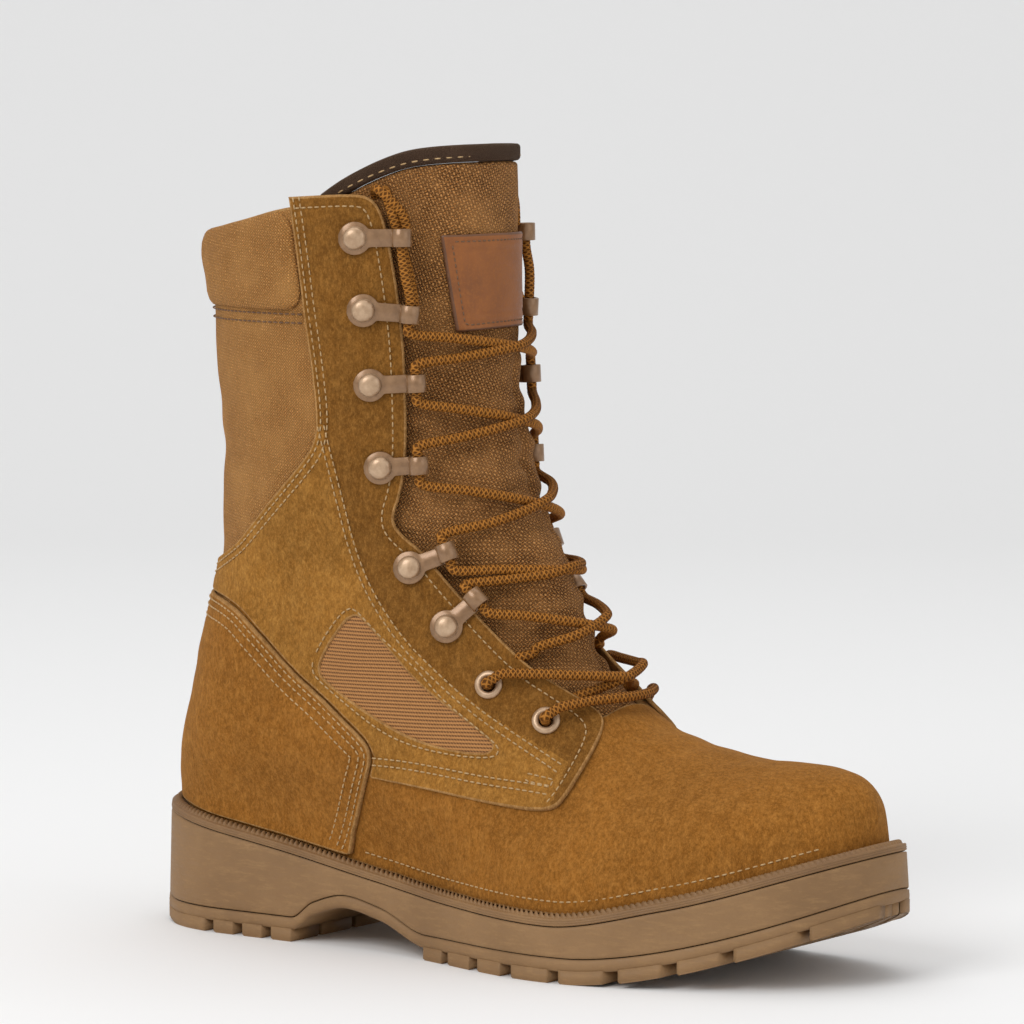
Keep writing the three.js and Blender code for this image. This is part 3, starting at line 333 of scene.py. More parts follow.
def lip_height(x):
    return LIP_HEIGHT * curve(LIP[:, 0], LIP[:, 1], x / SOLE_LENGTH)


def cad_shift():
    """Where the part's middle lies across, from the same stations as its solids."""
    share = (1 - np.cos((np.arange(CAD_STATIONS) + 0.5) / CAD_STATIONS * math.pi)) / 2
    x = share * SOLE_LENGTH
    low = (sole_centre(x) - sole_half(x, -1, 0)).min()
    high = (sole_centre(x) + sole_half(x, 1, 0)).max()
    return (low + high) / 2


SHIFT = np.array([SOLE_LENGTH / 2, cad_shift(), 0])


# Last: a fan of sections, t along the fan and theta round each section (0 on the ridge, pi at the
# back, positive on the outer side)

def section_table():
    vamp_foot = last_x(VAMP[:, 2])
    vamp = np.stack([
        last_x(VAMP[:, 0]), height_at(VAMP[:, 1]), vamp_foot, lip_height(vamp_foot) - FEATHER_UNDER,
        VAMP[:, 3], VAMP[:, 4], VAMP[:, 5], VAMP[:, 6], VAMP[:, 7], VAMP[:, 8],
    ], 1)
    shaft = np.stack([
        last_x(SHAFT[:, 0]), height_at(SHAFT[:, 1]), last_x(SHAFT[:, 2]), height_at(SHAFT[:, 3]),
        SHAFT[:, 4], SHAFT[:, 5], SHAFT[:, 6], SHAFT[:, 7], SHAFT[:, 8], 0 * SHAFT[:, 8],
    ], 1)
    return np.vstack([vamp, shaft])


SECTIONS = section_table()
TOP = len(SECTIONS) - 1.0
ROWS = np.arange(len(SECTIONS))


def section(t):
    s = np.clip(np.where(t < 1, t * np.abs(t), t), 0, TOP)
    return [curve(ROWS, SECTIONS[:, k], s) for k in range(SECTIONS.shape[1])]


def last_point(t, theta):
    t, theta = np.broadcast_arrays(np.asarray(t, float), np.asarray(theta, float))
    fx, fz, bx, bz, outer, inner, reach, heel, swing, foot_swing = section(t)
    sign = np.where(np.sin(theta) >= 0, -1.0, 1.0)
    share = (1 - np.cos(theta)) / 2
    x = fx + (bx - fx) * share
    z = fz + (bz - fz) * share
    length = np.hypot(bx - fx, bz - fz)
    lip = lip_height(x)
    feather = 1 - smooth(lip + FEATHER_LOW, lip + FEATHER_HIGH, z)
    back = heel * LAST_HALF
    behind = np.where(back > GAP, rounded(length * (1 - share), np.maximum(back, GAP), 2.1), 1.0)
    toe = rounded(SOLE_LENGTH - LAST_INSET - x, TOE_ROUND - LAST_INSET, 2.2)
    own = LAST_HALF * np.where(sign < 0, outer, inner) * behind * toe
    width = own * (1 - feather) + sole_half(x, sign, LAST_INSET) * feather
    ridge = rounded(length * share, reach * LAST_HALF, 2.05)
    middle = TOE_SWING * (swing + (foot_swing - swing) * share)
    centre = middle * (1 - feather) + sole_centre(x) * feather
    return np.stack([x, centre + sign * width * ridge, z], -1)


def last_normal(t, theta, step=0.04):
    t, theta = np.broadcast_arrays(np.asarray(t, float), np.asarray(theta, float))
    tip = smooth(0, 0.12, t)
    t = np.maximum(t, step)
    along = last_point(np.minimum(t + step, TOP), theta) - last_point(t - step, theta)
    across = last_point(t, theta + step) - last_point(t, theta - step)
    normal = np.cross(along, across)
    normal[..., 1] *= tip
    return normal / np.maximum(np.linalg.norm(normal, axis=-1, keepdims=True), 1e-9)


OUTWARD = -np.sign(last_normal(10.0, math.pi / 2)[1])


def surface(t, theta, offset):
    return last_point(t, theta) + OUTWARD * last_normal(t, theta) * np.asarray(offset)[..., None]


FAN = np.linspace(0, TOP, 1500)
FAN_T = np.where(FAN < 1, np.sqrt(FAN), FAN)
FAN_ROWS = section(FAN_T)
FAN_FRONT = np.stack(FAN_ROWS[0:2], 1)
FAN_WAY = np.stack(FAN_ROWS[2:4], 1) - FAN_FRONT


def chord_place(points):
    """The fan's place and the share down its chord for points in the side view."""
    places = np.zeros(len(points))
    shares = np.zeros(len(points))
    for i, point in enumerate(points):
        off = point - FAN_FRONT
        cross = FAN_WAY[:, 0] * off[:, 1] - FAN_WAY[:, 1] * off[:, 0]
        share = (off * FAN_WAY).sum(1) / (FAN_WAY ** 2).sum(1)
        change = np.where(cross[:-1] * cross[1:] <= 0)[0]
        if not len(change):
            change = np.array([np.argmin(np.abs(cross))])
        miss = np.maximum(0, np.abs(share[change] - 0.5) - 0.5)
        k = change[np.argmin(miss)]
        k = min(k, len(FAN) - 2)
        part = np.clip(cross[k] / (cross[k] - cross[k + 1] + 1e-12), 0, 1)
        places[i] = FAN[k] + part * (FAN[k + 1] - FAN[k])
        shares[i] = share[k] + part * (share[k + 1] - share[k])
    return np.where(places < 1, np.sqrt(places), places), shares


def place_on(points, side, offset):
    """Fan coordinates at which the offset surface shows these side-view points, and which are on it."""
    points = np.asarray(points, float)
    guess = points.copy()
    for _ in range(5):
        t, share = chord_place(guess)
        theta = np.arccos(1 - 2 * np.clip(share, 0, 1)) * -side
        made = surface(t, theta, np.full(len(t), float(offset)))
        miss = points - made[:, [0, 2]]
        guess = guess + miss
    good = np.linalg.norm(miss, axis=1) < 0.6
    return np.stack([t, theta], 1), good


# Plane used to lay out panels: fan coordinates stretched to about their real lengths
STRETCH = 45.0
RIDGE = last_point(np.linspace(0, TOP, 400), 1.3)
RIDGE_RUN = np.concatenate([[0], np.cumsum(np.linalg.norm(np.diff(RIDGE, axis=0), axis=1))])


def to_plane(line):
    run = np.interp(line[:, 0], np.linspace(0, TOP, 400), RIDGE_RUN)
    return np.stack([run, line[:, 1] * STRETCH], 1)


def from_plane(points):
    t = np.interp(points[:, 0], RIDGE_RUN, np.linspace(0, TOP, 400))
    return t, points[:, 1] / STRETCH


# Meshes

def make_object(name, vertices, faces, materials, uvs, slots=None):
    mesh = bpy.data.meshes.new(name)
    placed = (np.asarray(vertices) - SHIFT) * 0.001
    mesh.from_pydata([tuple(v) for v in placed], [], [tuple(int(i) for i in f) for f in faces])
    for material in materials:
        mesh.materials.append(material)
    if slots is not None:
        mesh.polygons.foreach_set("material_index", np.asarray(slots, dtype=np.int32))
    mesh.polygons.foreach_set("use_smooth", np.full(len(mesh.polygons), True))
    layer = mesh.uv_layers.new(name="flat")
    loops = np.zeros(len(mesh.loops), dtype=np.int32)
    mesh.loops.foreach_get("vertex_index", loops)
    layer.data.foreach_set("uv", np.asarray(uvs, dtype=np.float32)[loops].ravel())
    mesh.update()
    mesh.validate()
    made = bpy.data.objects.new(name, mesh)
    bpy.context.scene.collection.objects.link(made)
    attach(made, "root")
    return made


def grid_faces(rows, columns, closed_rows=False, closed_columns=False, start=0):
    i = np.arange(rows if closed_rows else rows - 1)
    j = np.arange(columns if closed_columns else columns - 1)
    i, j = np.meshgrid(i, j, indexing="ij")
    i, j = i.ravel(), j.ravel()
    up, right = (i + 1) % rows, (j + 1) % columns
    return start + np.stack([i * columns + j, up * columns + j, up * columns + right, i * columns + right], 1)


def turned_out(vertices, faces):
    """The faces, all turned round if the closed body they make is inside out."""
    faces = [list(f) for f in faces]
    vertices = np.asarray(vertices)
    volume = 0.0
    for f in faces:
        a = vertices[f[0]]
        for k in range(1, len(f) - 1):
            volume += a @ np.cross(vertices[f[k]], vertices[f[k + 1]])
    return faces if volume > 0 else [f[::-1] for f in faces]


def true_length(points, way):
    """Real length on the form of a unit step in the plane."""
    ends = [last_point(*from_plane(points + way * step)) for step in (-0.5, 0.5)]
    return np.maximum(np.linalg.norm(ends[1] - ends[0], axis=1), 0.05)


def on_seam(loop):
    """Points of a loop where the form closes on itself, at the toe's tip and down the back."""
    return (np.abs(loop[:, 1]) > math.pi * STRETCH - 0.01) | (loop[:, 0] < 0.01)


def loop_inset(loop, distance, seams=False):
    """A closed loop in the plane moved inwards by a real distance, sliding along the seams."""
    before, after = np.roll(loop, 1, 0), np.roll(loop, -1, 0)
    way = after - before
    way /= np.maximum(np.linalg.norm(way, axis=1, keepdims=True), 1e-9)
    area = np.sum(loop[:, 0] * after[:, 1] - after[:, 0] * loop[:, 1])
    normal = np.stack([-way[:, 1], way[:, 0]], 1) * np.sign(area)
    move = normal * distance * np.clip(1 / true_length(loop, normal), 0.3, 3)[:, None]
    if seams:
        move[np.abs(loop[:, 1]) > math.pi * STRETCH - 0.01, 1] = 0
        move[loop[:, 0] < 0.01, 0] = 0
    return loop + move


def wound(loop, forwards):
    after = np.roll(loop, -1, 0)
    area = np.sum(loop[:, 0] * after[:, 1] - after[:, 0] * loop[:, 1])
    return loop if (area > 0) == forwards else loop[::-1]


def fill_plane(outer, holes, spacing):
    """Triangles and points that fill an outline in the plane."""
    low, high = outer.min(0), outer.max(0)
    xs = np.arange(low[0], high[0], spacing)
    ys = np.arange(low[1], high[1], spacing * 0.87)
    gx, gy = np.meshgrid(xs, ys, indexing="ij")
    gx = gx + (np.arange(len(ys)) % 2)[None, :] * spacing / 2
    points = np.stack([gx.ravel(), gy.ravel()], 1)
    keep = inside_loop(points, outer)
    for hole in holes:
        keep &= ~inside_loop(points, hole)
    points = points[keep]
    near = np.zeros(len(points), bool)
    for loop in [outer, *holes]:
        near |= line_distance(points, np.vstack([loop, loop[:1]])) < spacing * 0.55
    points = points[~near]
    fixed = np.vstack([outer, *holes]) if holes else outer
    edges = []
    start = 0
    for loop in [outer, *holes]:
        count = len(loop)
        edges += [(start + i, start + (i + 1) % count) for i in range(count)]
        start += count
    everything = np.vstack([fixed, points])
    made = delaunay_2d_cdt([Vector(p) for p in everything.tolist()], edges, [], 0, 1e-5)
    corners = np.array([tuple(v) for v in made[0]])
    triangles = np.array([f for f in made[2] if len(f) == 3])
    origin = np.full(len(corners), -1)
    for i, source in enumerate(made[3]):
        origin[i] = source[0] if source else -1
    middles = corners[triangles].mean(1)
    keep = inside_loop(middles, outer)
    for hole in holes:
        keep &= ~inside_loop(middles, hole)
    triangles = triangles[keep]
    keep = (origin[triangles] >= 0).all(1)
    triangles = origin[triangles[keep]]
    a, b, c = (everything[triangles[:, k]] for k in range(3))
    area = (b[:, 0] - a[:, 0]) * (c[:, 1] - a[:, 1]) - (b[:, 1] - a[:, 1]) * (c[:, 0] - a[:, 0])
    triangles[area < 0] = triangles[area < 0][:, ::-1]
    return everything, triangles[np.abs(area) > 1e-9]


def panel(name, outer, holes, profile, base, materials, relief=None, carry=None, spacing=1.6, paint=None,
          edge_slot=0, under_slot=0, seams=False, upright=True, corner=0.0):
    """A sheet on the form: outer and holes are loops in fan coordinates, and profile lists how far each
    row of its rolled edge lies in from the outline, and how high. carry moves both faces, relief the
    shown one, and paint picks the shown face's material by place."""
    loops = [to_plane(loop) for loop in [outer, *holes]]
    if corner:
        loops = [softened(resampled(loop, corner, closed=True), 3, closed=True) for loop in loops]
    loops = [wound(resampled(loop, spacing, closed=True), k == 0) for k, loop in enumerate(loops)]
    rows = []
    for inset, height in profile:
        rows.append([loop_inset(loop, inset if k == 0 else -inset, seams) for k, loop in enumerate(loops)])
    inner = rows[-1]
    points, triangles = fill_plane(inner[0], inner[1:], spacing)
    flat = [points]
    heights = [np.full(len(points), profile[-1][1])]
    shown = [np.ones(len(points))]
    faces = [list(f) for f in triangles]
    slots = [0] * len(faces)
    if paint is not None:
        slots = list(paint(last_point(*from_plane(points[triangles].mean(1)))))
    starts = []
    total = len(points)
    for level in range(len(profile) - 2, -1, -1):
        starts.append(total)
        ring = np.vstack(rows[level])
        flat.append(ring)
        heights.append(np.full(len(ring), profile[level][1]))
        shown.append(np.full(len(ring), 1.0 if profile[level][1] > base + GAP else 0.0))
        total += len(ring)
    under = total
    flat.append(points)
    heights.append(np.full(len(points), base))
    shown.append(np.zeros(len(points)))
    faces += [list(f[::-1] + under) for f in triangles]
    slots += [under_slot] * len(triangles)
    order = [0, *starts, under]
    offset = 0
    for loop in loops:
        count = len(loop)
        closed = on_seam(loop) if seams else np.zeros(count, bool)
        for a, b in zip(order[:-1], order[1:]):
            for i in range(count):
                j = (i + 1) % count
                if not (closed[i] and closed[j]):
                    faces.append([a + offset + j, a + offset + i, b + offset + i, b + offset + j])
                    slots.append(edge_slot)
        offset += count
    flat = np.vstack(flat)
    t, theta = from_plane(flat)
    height = np.concatenate(heights)
    shown = np.concatenate(shown)
    spots = last_point(t, theta)
    if relief is not None:
        height = height + relief(spots, flat) * shown
    if carry is not None:
        height = height + carry(spots)
    vertices = surface(t, theta, height)
    faces = turned_out(vertices, faces)
    return make_object(name, vertices, faces, materials, weave_layout(t, theta, spots, upright), slots)


ARC_T = np.linspace(0, TOP, 220)
ARC_THETA = np.linspace(0, math.pi, 181)


def arc_table():
    grid = last_point(ARC_T[:, None], ARC_THETA[None, :])
    steps = np.linalg.norm(np.diff(grid, axis=1), axis=2)
    return np.hstack([np.zeros((len(ARC_T), 1)), np.cumsum(steps, axis=1)])


ARC = arc_table()
FRONT_RUN = np.concatenate([[0], np.cumsum(np.linalg.norm(np.diff(last_point(ARC_T, 0.5), axis=0), axis=1))])


def weave_layout(t, theta, spots, upright):
    """Places in millimetres across and along the form, for the weaves."""
    i = np.clip(t / TOP * (len(ARC_T) - 1), 0, len(ARC_T) - 1.001)
    turn = np.where(theta > math.pi, 2 * math.pi - theta, np.abs(theta))
    j = np.clip(turn / math.pi * (len(ARC_THETA) - 1), 0, len(ARC_THETA) - 1.001)
    a, b = i.astype(int), j.astype(int)
    u, v = i - a, j - b
    low = ARC[a, b] * (1 - v) + ARC[a, b + 1] * v
    high = ARC[a + 1, b] * (1 - v) + ARC[a + 1, b + 1] * v
    across = low * (1 - u) + high * u
    total = ARC[a, -1] * (1 - u) + ARC[a + 1, -1] * u
    across = np.where(theta > math.pi, 2 * total - across, np.where(theta < 0, -across, across))
    return np.stack([across, spots[:, 2] if upright else np.interp(t, ARC_T, FRONT_RUN)], 1)


def lathe(profile, point, normal, sides):
    """Rings of a turned piece: profile is radius and height above a point."""
    normal = normal / np.linalg.norm(normal)
    side = np.cross(normal, [0, 0, 1.0])
    side /= np.linalg.norm(side)
    other = np.cross(normal, side)
    angle = np.arange(sides) / sides * 2 * math.pi
    ring = np.cos(angle)[:, None] * side + np.sin(angle)[:, None] * other
    vertices = np.vstack([point + ring * r + normal * h for r, h in profile])
    return vertices, grid_faces(len(profile), sides, closed_columns=True)


class Parts:
    """Collects closed bodies into one mesh."""

    def __init__(self):
        self.vertices = []
        self.faces = []
        self.uvs = []
        self.count = 0

    def add(self, vertices, faces, uvs=None):
        faces = turned_out(vertices, faces)
        self.faces += [[int(i) + self.count for i in f] for f in faces]
        self.vertices.append(np.asarray(vertices, float))
        self.uvs.append(np.zeros((len(vertices), 2)) if uvs is None else np.asarray(uvs, float))
        self.count += len(vertices)

    def make(self, name, material):
        return make_object(name, np.vstack(self.vertices), self.faces, [material], np.vstack(self.uvs))


def tube(sections):
    """A closed tube: sections holds one ring of points for each step along it."""
    count = sections.shape[1]
    vertices = sections.reshape(-1, 3)
    faces = [list(f) for f in grid_faces(len(sections), count, closed_columns=True)]
    faces.append(list(range(count)))
    faces.append([len(vertices) - 1 - i for i in range(count)])
    return vertices, faces


def frames_along(points, first_up):
    way = np.gradient(points, axis=0)
    way /= np.maximum(np.linalg.norm(way, axis=1, keepdims=True), 1e-9)
    up = np.asarray(first_up, float)
    ups = []
    for w in way:
        up = up - (up @ w) * w
        up /= max(np.linalg.norm(up), 1e-9)
        ups.append(up)
    ups = np.array(ups)
    return way, ups, np.cross(way, ups)


def catmull(points, spacing):
    """Smooth path through points, resampled to an even spacing."""
    points = np.asarray(points, float)
    ends = np.vstack([2 * points[0] - points[1], points, 2 * points[-1] - points[-2]])
    steps = np.sqrt(np.linalg.norm(np.diff(ends, axis=0), axis=1))
    knots = np.concatenate([[0], np.cumsum(steps + 1e-6)])

    def between(first, last, t, low, high):
        share = (t - knots[first]) / (knots[last] - knots[first])
        return (1 - share) * low + share * high

    made = []
    for i in range(1, len(ends) - 2):
        t = np.linspace(knots[i], knots[i + 1], CATMULL_STEPS, endpoint=False)[:, None]
        one = [between(k, k + 1, t, ends[k], ends[k + 1]) for k in (i - 1, i, i + 1)]
        two = [between(k, k + 2, t, one[k - i + 1], one[k - i + 2]) for k in (i - 1, i)]
        made.append(between(i, i + 1, t, *two))
    made.append(ends[-2:-1])
    return resampled(np.vstack(made), spacing)


# Materials

class Finish:
    """Builds one node-based material."""

    def __init__(self, name, colour, roughness):
        self.material = bpy.data.materials.new(name)
        self.material.use_nodes = True
        self.tree = self.material.node_tree
        self.shader = self.tree.nodes["Principled BSDF"]
        self.shader.inputs["Base Color"].default_value = (*colour, 1)
        self.shader.inputs["Roughness"].default_value = roughness
        self.place = self.node("ShaderNodeTexCoord").outputs
        self.bumps = None

    def node(self, kind, **settings):
        made = self.tree.nodes.new(kind)
        for key, value in settings.items():
            if key.startswith("in_"):
                socket = made.inputs[int(key[3:])]
                if isinstance(value, bpy.types.NodeSocket):
                    self.tree.links.new(value, socket)
                else:
                    socket.default_value = value
            else:
                setattr(made, key, value)
        return made

    def link(self, source, target):
        self.tree.links.new(source, target)

    def noise(self, scale, detail=4.0, roughness=0.6, stretch=(1, 1, 1), where="Object"):
        spread = self.node("ShaderNodeMapping", in_0=self.place[where], in_3=stretch)
        return self.node(
            "ShaderNodeTexNoise", in_0=spread.outputs[0], in_2=scale, in_3=detail, in_4=roughness
        ).outputs[0]

    def ramp(self, value, low, high, first, last):
        made = self.node("ShaderNodeMapRange", in_0=value, in_1=low, in_2=high, in_3=first, in_4=last)
        return made.outputs[0]

    def math(self, operation, a, b=0.0, c=0.0):
        return self.node("ShaderNodeMath", operation=operation, in_0=a, in_1=b, in_2=c).outputs[0]

    def mix(self, share, a, b):
        made = self.node("ShaderNodeMix", data_type="RGBA")
        for socket, value in ((0, share), (6, a), (7, b)):
            if isinstance(value, bpy.types.NodeSocket):
                self.link(value, made.inputs[socket])
            else:
                made.inputs[socket].default_value = value if socket == 0 else (*value, 1)
        return made.outputs[2]

    def colour(self, value):
        self.link(value, self.shader.inputs["Base Color"])

    def rough(self, value):
        self.link(value, self.shader.inputs["Roughness"])

    def bump(self, value, depth, strength=1.0):
        made = self.node("ShaderNodeBump", in_0=strength, in_1=depth, in_3=value)
        if self.bumps is not None:
            self.link(self.bumps, made.inputs["Normal"])
        self.bumps = made.outputs[0]
        self.link(self.bumps, self.shader.inputs["Normal"])

    def sheen(self, weight, roughness, tint):
        self.shader.inputs["Sheen Weight"].default_value = weight
        self.shader.inputs["Sheen Roughness"].default_value = roughness
        self.shader.inputs["Sheen Tint"].default_value = (*tint, 1)


def suede(name, deep, middle, light):
    made = Finish(name, middle, 0.93)
    cloud = made.noise(30, 6, 0.62)
    brushed = made.noise(230, 6, 0.72, (1, 1, 0.7))
    nap = made.noise(800, 6, 0.78, (1, 1, 0.62))
    fibre = made.noise(2600, 3, 0.7, (1, 1, 0.4))
    tone = made.mix(made.ramp(cloud, 0.34, 0.6, 0.3, 1), deep, middle)
    tone = made.mix(made.ramp(brushed, 0.43, 0.74, 0, 0.6), tone, light)
    tone = made.mix(made.ramp(nap, 0.6, 0.33, 0, 0.75), tone, tuple(0.6 * c for c in deep))
    tone = made.mix(made.ramp(nap, 0.52, 0.74, 0, 0.5), tone, light)
    tone = made.mix(made.ramp(fibre, 0.5, 0.75, 0, 0.4), tone, tuple(min(1, 1.3 * c) for c in light))
    made.colour(tone)
    made.bump(brushed, 0.0009, 0.5)
    made.bump(nap, 0.00045, 0.75)
    made.bump(fibre, 0.00018, 0.6)
    made.sheen(0.14, 0.45, (1, 0.62, 0.25))
    made.shader.inputs["Specular IOR Level"].default_value = 0.08
    return made.material


def woven(name, deep, middle, light, pitch, speck=0.3, turned=0.0):
    """Basket weave from the mesh's own layout in millimetres, turned by an angle in radians, with painted
    shade in the sunken gaps between the yarns.
    """
    made = Finish(name, middle, 0.85)
    wander = made.noise(1.2, 2, 0.5, (1, 1, 1), "UV")
    shift = made.ramp(wander, 0, 1, -0.5, 0.5)
    spun = made.node("ShaderNodeMapping", in_0=made.place["UV"], in_2=(0, 0, turned)).outputs[0]
    parts = made.node("ShaderNodeSeparateXYZ", in_0=spun).outputs
    along = made.math("ADD", parts[0], shift)
    down = made.math("ADD", parts[1], shift)
    turn = 2 * math.pi / pitch
    warp = made.math("SINE", made.math("MULTIPLY", along, turn))
    weft = made.math("SINE", made.math("MULTIPLY", down, turn))
    checks = made.math("MULTIPLY", warp, weft)
    over = made.ramp(checks, -0.25, 0.25, 0, 1)
    round_warp = made.math("ABSOLUTE", made.math("COSINE", made.math("MULTIPLY", along, turn)))
    round_weft = made.math("ABSOLUTE", made.math("COSINE", made.math("MULTIPLY", down, turn)))
    blend = made.node("ShaderNodeMix", data_type="FLOAT", in_0=over, in_2=round_weft, in_3=round_warp)
    height = blend.outputs[0]
    inverse = made.ramp(height, 0, 1, 1, 0)
    threads = made.noise(1400, 3, 0.6)
    patch = made.noise(60, 4, 0.6)
    tone = made.mix(over, middle, light)
    # Painted shade: where the bump below sinks between the yarns (low inverse), the colour goes towards deep.
    tone = made.mix(made.ramp(inverse, 0.6, 0.1, 0, 0.95), tone, deep)
    tone = made.mix(made.ramp(threads, 0.48, 0.72, 0, speck), tone, deep)
    tone = made.mix(made.ramp(patch, 0.4, 0.75, 0, 0.35), tone, light)
    made.colour(tone)
    made.bump(inverse, 0.0007, 1.0)
    made.bump(threads, 0.00015, 0.5)
    made.sheen(0.08, 0.5, (1, 0.7, 0.4))
    made.shader.inputs["Specular IOR Level"].default_value = 0.15
    return made.material


def rubber(name, deep, middle, light, scratch=1.0):
    made = Finish(name, middle, 0.62)
    cloud = made.noise(26, 4, 0.55)
    grain = made.noise(900, 4, 0.65)
    scuffs = made.noise(120, 6, 0.72, (1, 1, 5))
    tone = made.mix(made.ramp(cloud, 0.35, 0.7, 0, 1), deep, middle)
    tone = made.mix(made.ramp(scuffs, 0.5, 0.78, 0, 0.6 * scratch), tone, light)
    tone = made.mix(made.ramp(grain, 0.5, 0.25, 0, 0.35), tone, deep)
    made.colour(tone)
    made.rough(made.ramp(scuffs, 0.35, 0.7, 0.55, 0.8))
    made.bump(scuffs, 0.0004, 0.35 * scratch)
    made.bump(grain, 0.00012, 0.4)
    return made.material


def cord_finish(name, deep, middle, light):
    """Braid: a dark fleck in some of the plaits, with painted shade in the hollows between the plaits and a
    painted highlight on their raised tops.
    """
    made = Finish(name, middle, 0.7)
    parts = made.node("ShaderNodeSeparateXYZ", in_0=made.place["UV"]).outputs
    first = made.math("SINE", made.math("ADD", parts[0], parts[1]))
    second = made.math("SINE", made.math("SUBTRACT", parts[0], parts[1]))
    plait = made.math("MAXIMUM", first, second)
    flecks = made.math("SINE", made.math("ADD", made.math("MULTIPLY", parts[0], 0.5), parts[1]))
    fibre = made.noise(2200, 3, 0.6)
    # Painted shade: the hollows between the plaits, sunk by the bump below, go towards deep.
    tone = made.mix(made.ramp(plait, 0.05, 0.8, 0.1, 1), deep, middle)
    tone = made.mix(made.ramp(flecks, 0.7, 0.98, 0, 0.55), tone, deep)
    # Painted highlight: the raised tops of the plaits go towards light.
    tone = made.mix(made.ramp(plait, 0.8, 1, 0, 0.45), tone, light)
    tone = made.mix(made.ramp(fibre, 0.55, 0.8, 0, 0.35), tone, light)
    made.colour(tone)
    made.bump(plait, 0.00025, 0.7)
    made.bump(fibre, 0.0001, 0.5)
    made.shader.inputs["Specular IOR Level"].default_value = 0.12
    return made.material


def lacquer(name, deep, middle, light):
    made = Finish(name, middle, 0.38)
    cloud = made.noise(320, 4, 0.6)
    fine = made.noise(2600, 2, 0.6)
    tone = made.mix(made.ramp(cloud, 0.35, 0.7, 0, 1), deep, middle)
    bevel = made.node("ShaderNodeBevel", in_0=0.0003)
    plain = made.node("ShaderNodeNewGeometry").outputs["Normal"]
    edge = made.node("ShaderNodeVectorMath", operation="DOT_PRODUCT", in_0=bevel.outputs[0], in_1=plain)
    tone = made.mix(made.ramp(edge.outputs["Value"], 0.98, 0.8, 0, 0.8), tone, light)
    made.colour(tone)
    made.rough(made.ramp(cloud, 0.3, 0.7, 0.28, 0.5))
    made.bump(fine, 0.00004, 0.4)
    made.shader.inputs["Metallic"].default_value = 0.45
    made.shader.inputs["Coat Weight"].default_value = 0.5
    made.shader.inputs["Coat Roughness"].default_value = 0.18
    return made.material


def thread_finish(name, deep, light):
    made = Finish(name, light, 0.75)
    twist = made.noise(2600, 3, 0.6)
    cloud = made.noise(80, 3, 0.6)
    tone = made.mix(made.ramp(twist, 0.35, 0.65, 0, 1), deep, light)
    tone = made.mix(made.ramp(cloud, 0.45, 0.75, 0, 0.5), tone, deep)
    made.colour(tone)
    made.bump(twist, 0.00008, 0.6)
    return made.material


def leather(name, deep, middle, light):
    made = Finish(name, middle, 0.5)
    cloud = made.noise(60, 4, 0.6)
    grain = made.node("ShaderNodeTexVoronoi", in_0=made.place["Object"], in_2=1500.0).outputs[0]
    fine = made.noise(900, 4, 0.6)
    tone = made.mix(made.ramp(cloud, 0.35, 0.7, 0, 1), deep, middle)
    tone = made.mix(made.ramp(fine, 0.5, 0.75, 0, 0.4), tone, light)
    made.colour(tone)
    made.rough(made.ramp(fine, 0.3, 0.7, 0.42, 0.62))
    made.bump(grain, 0.00015, 0.35)
    made.bump(fine, 0.0002, 0.3)
    return made.material


def ribbed(name, deep, middle, light):
    made = Finish(name, middle, 0.85)
    parts = made.node("ShaderNodeSeparateXYZ", in_0=made.place["UV"]).outputs
    cells = made.math("SINE", made.math("MULTIPLY", parts[0], 2 * math.pi / 0.9))
    lines = made.math("SINE", made.math("MULTIPLY", parts[1], 2 * math.pi / 1.3))
    fibre = made.noise(1800, 3, 0.6)
    # Painted shade: the troughs between the 1.3 mm ribs, in step with rib_relief, go towards deep.
    tone = made.mix(made.ramp(lines, -0.7, 0.6, 0, 1), deep, middle)
    tone = made.mix(made.ramp(cells, 0.2, 0.9, 0, 0.35), tone, light)
    tone = made.mix(made.ramp(fibre, 0.5, 0.75, 0, 0.35), tone, deep)
    made.colour(tone)
    made.bump(cells, 0.0001, 0.6)
    made.bump(fibre, 0.0001, 0.5)
    return made.material


SUEDE = suede("suede", (0.2, 0.075, 0.011), (0.32, 0.124, 0.019), (0.46, 0.205, 0.045))
SUEDE_DARK = suede("suede_dark", (0.13, 0.052, 0.009), (0.23, 0.094, 0.016), (0.35, 0.165, 0.038))
SUEDE_SIDE = suede("suede_side", (0.2, 0.083, 0.014), (0.36, 0.155, 0.027), (0.5, 0.25, 0.06))
RAW_EDGE = suede("raw_edge", (0.25, 0.115, 0.03), (0.42, 0.22, 0.075), (0.55, 0.32, 0.13))
# In the woven finishes (fabric, tongue cloth, lining, tape), deep is both the painted shade in the gaps
# between the yarns and the colour of the dark specks.
FABRIC = woven("fabric", (0.24, 0.096, 0.021), (0.71, 0.315, 0.082), (0.84, 0.43, 0.135), 1.6, turned=0.7)
TONGUE_CLOTH = woven(
    "tongue_cloth", (0.06, 0.022, 0.005), (0.5, 0.203, 0.05), (0.78, 0.37, 0.12), 2.1, 0.35, 0.3,
)
LINING = woven("lining", (0.05, 0.03, 0.02), (0.11, 0.07, 0.045), (0.17, 0.11, 0.07), 1.4)
# Vent mesh colours: deep is the painted shade in the troughs between the ribs and the colour of the dark
# fibre flecks.
MESH = ribbed("vent_mesh", (0.14, 0.055, 0.013), (0.46, 0.205, 0.06), (0.58, 0.29, 0.1))
RUBBER = rubber("rubber", (0.21, 0.112, 0.042), (0.28, 0.155, 0.062), (0.38, 0.225, 0.1))
WELT_RUBBER = rubber("welt_rubber", (0.18, 0.092, 0.034), (0.27, 0.146, 0.057), (0.38, 0.22, 0.095), 0.6)
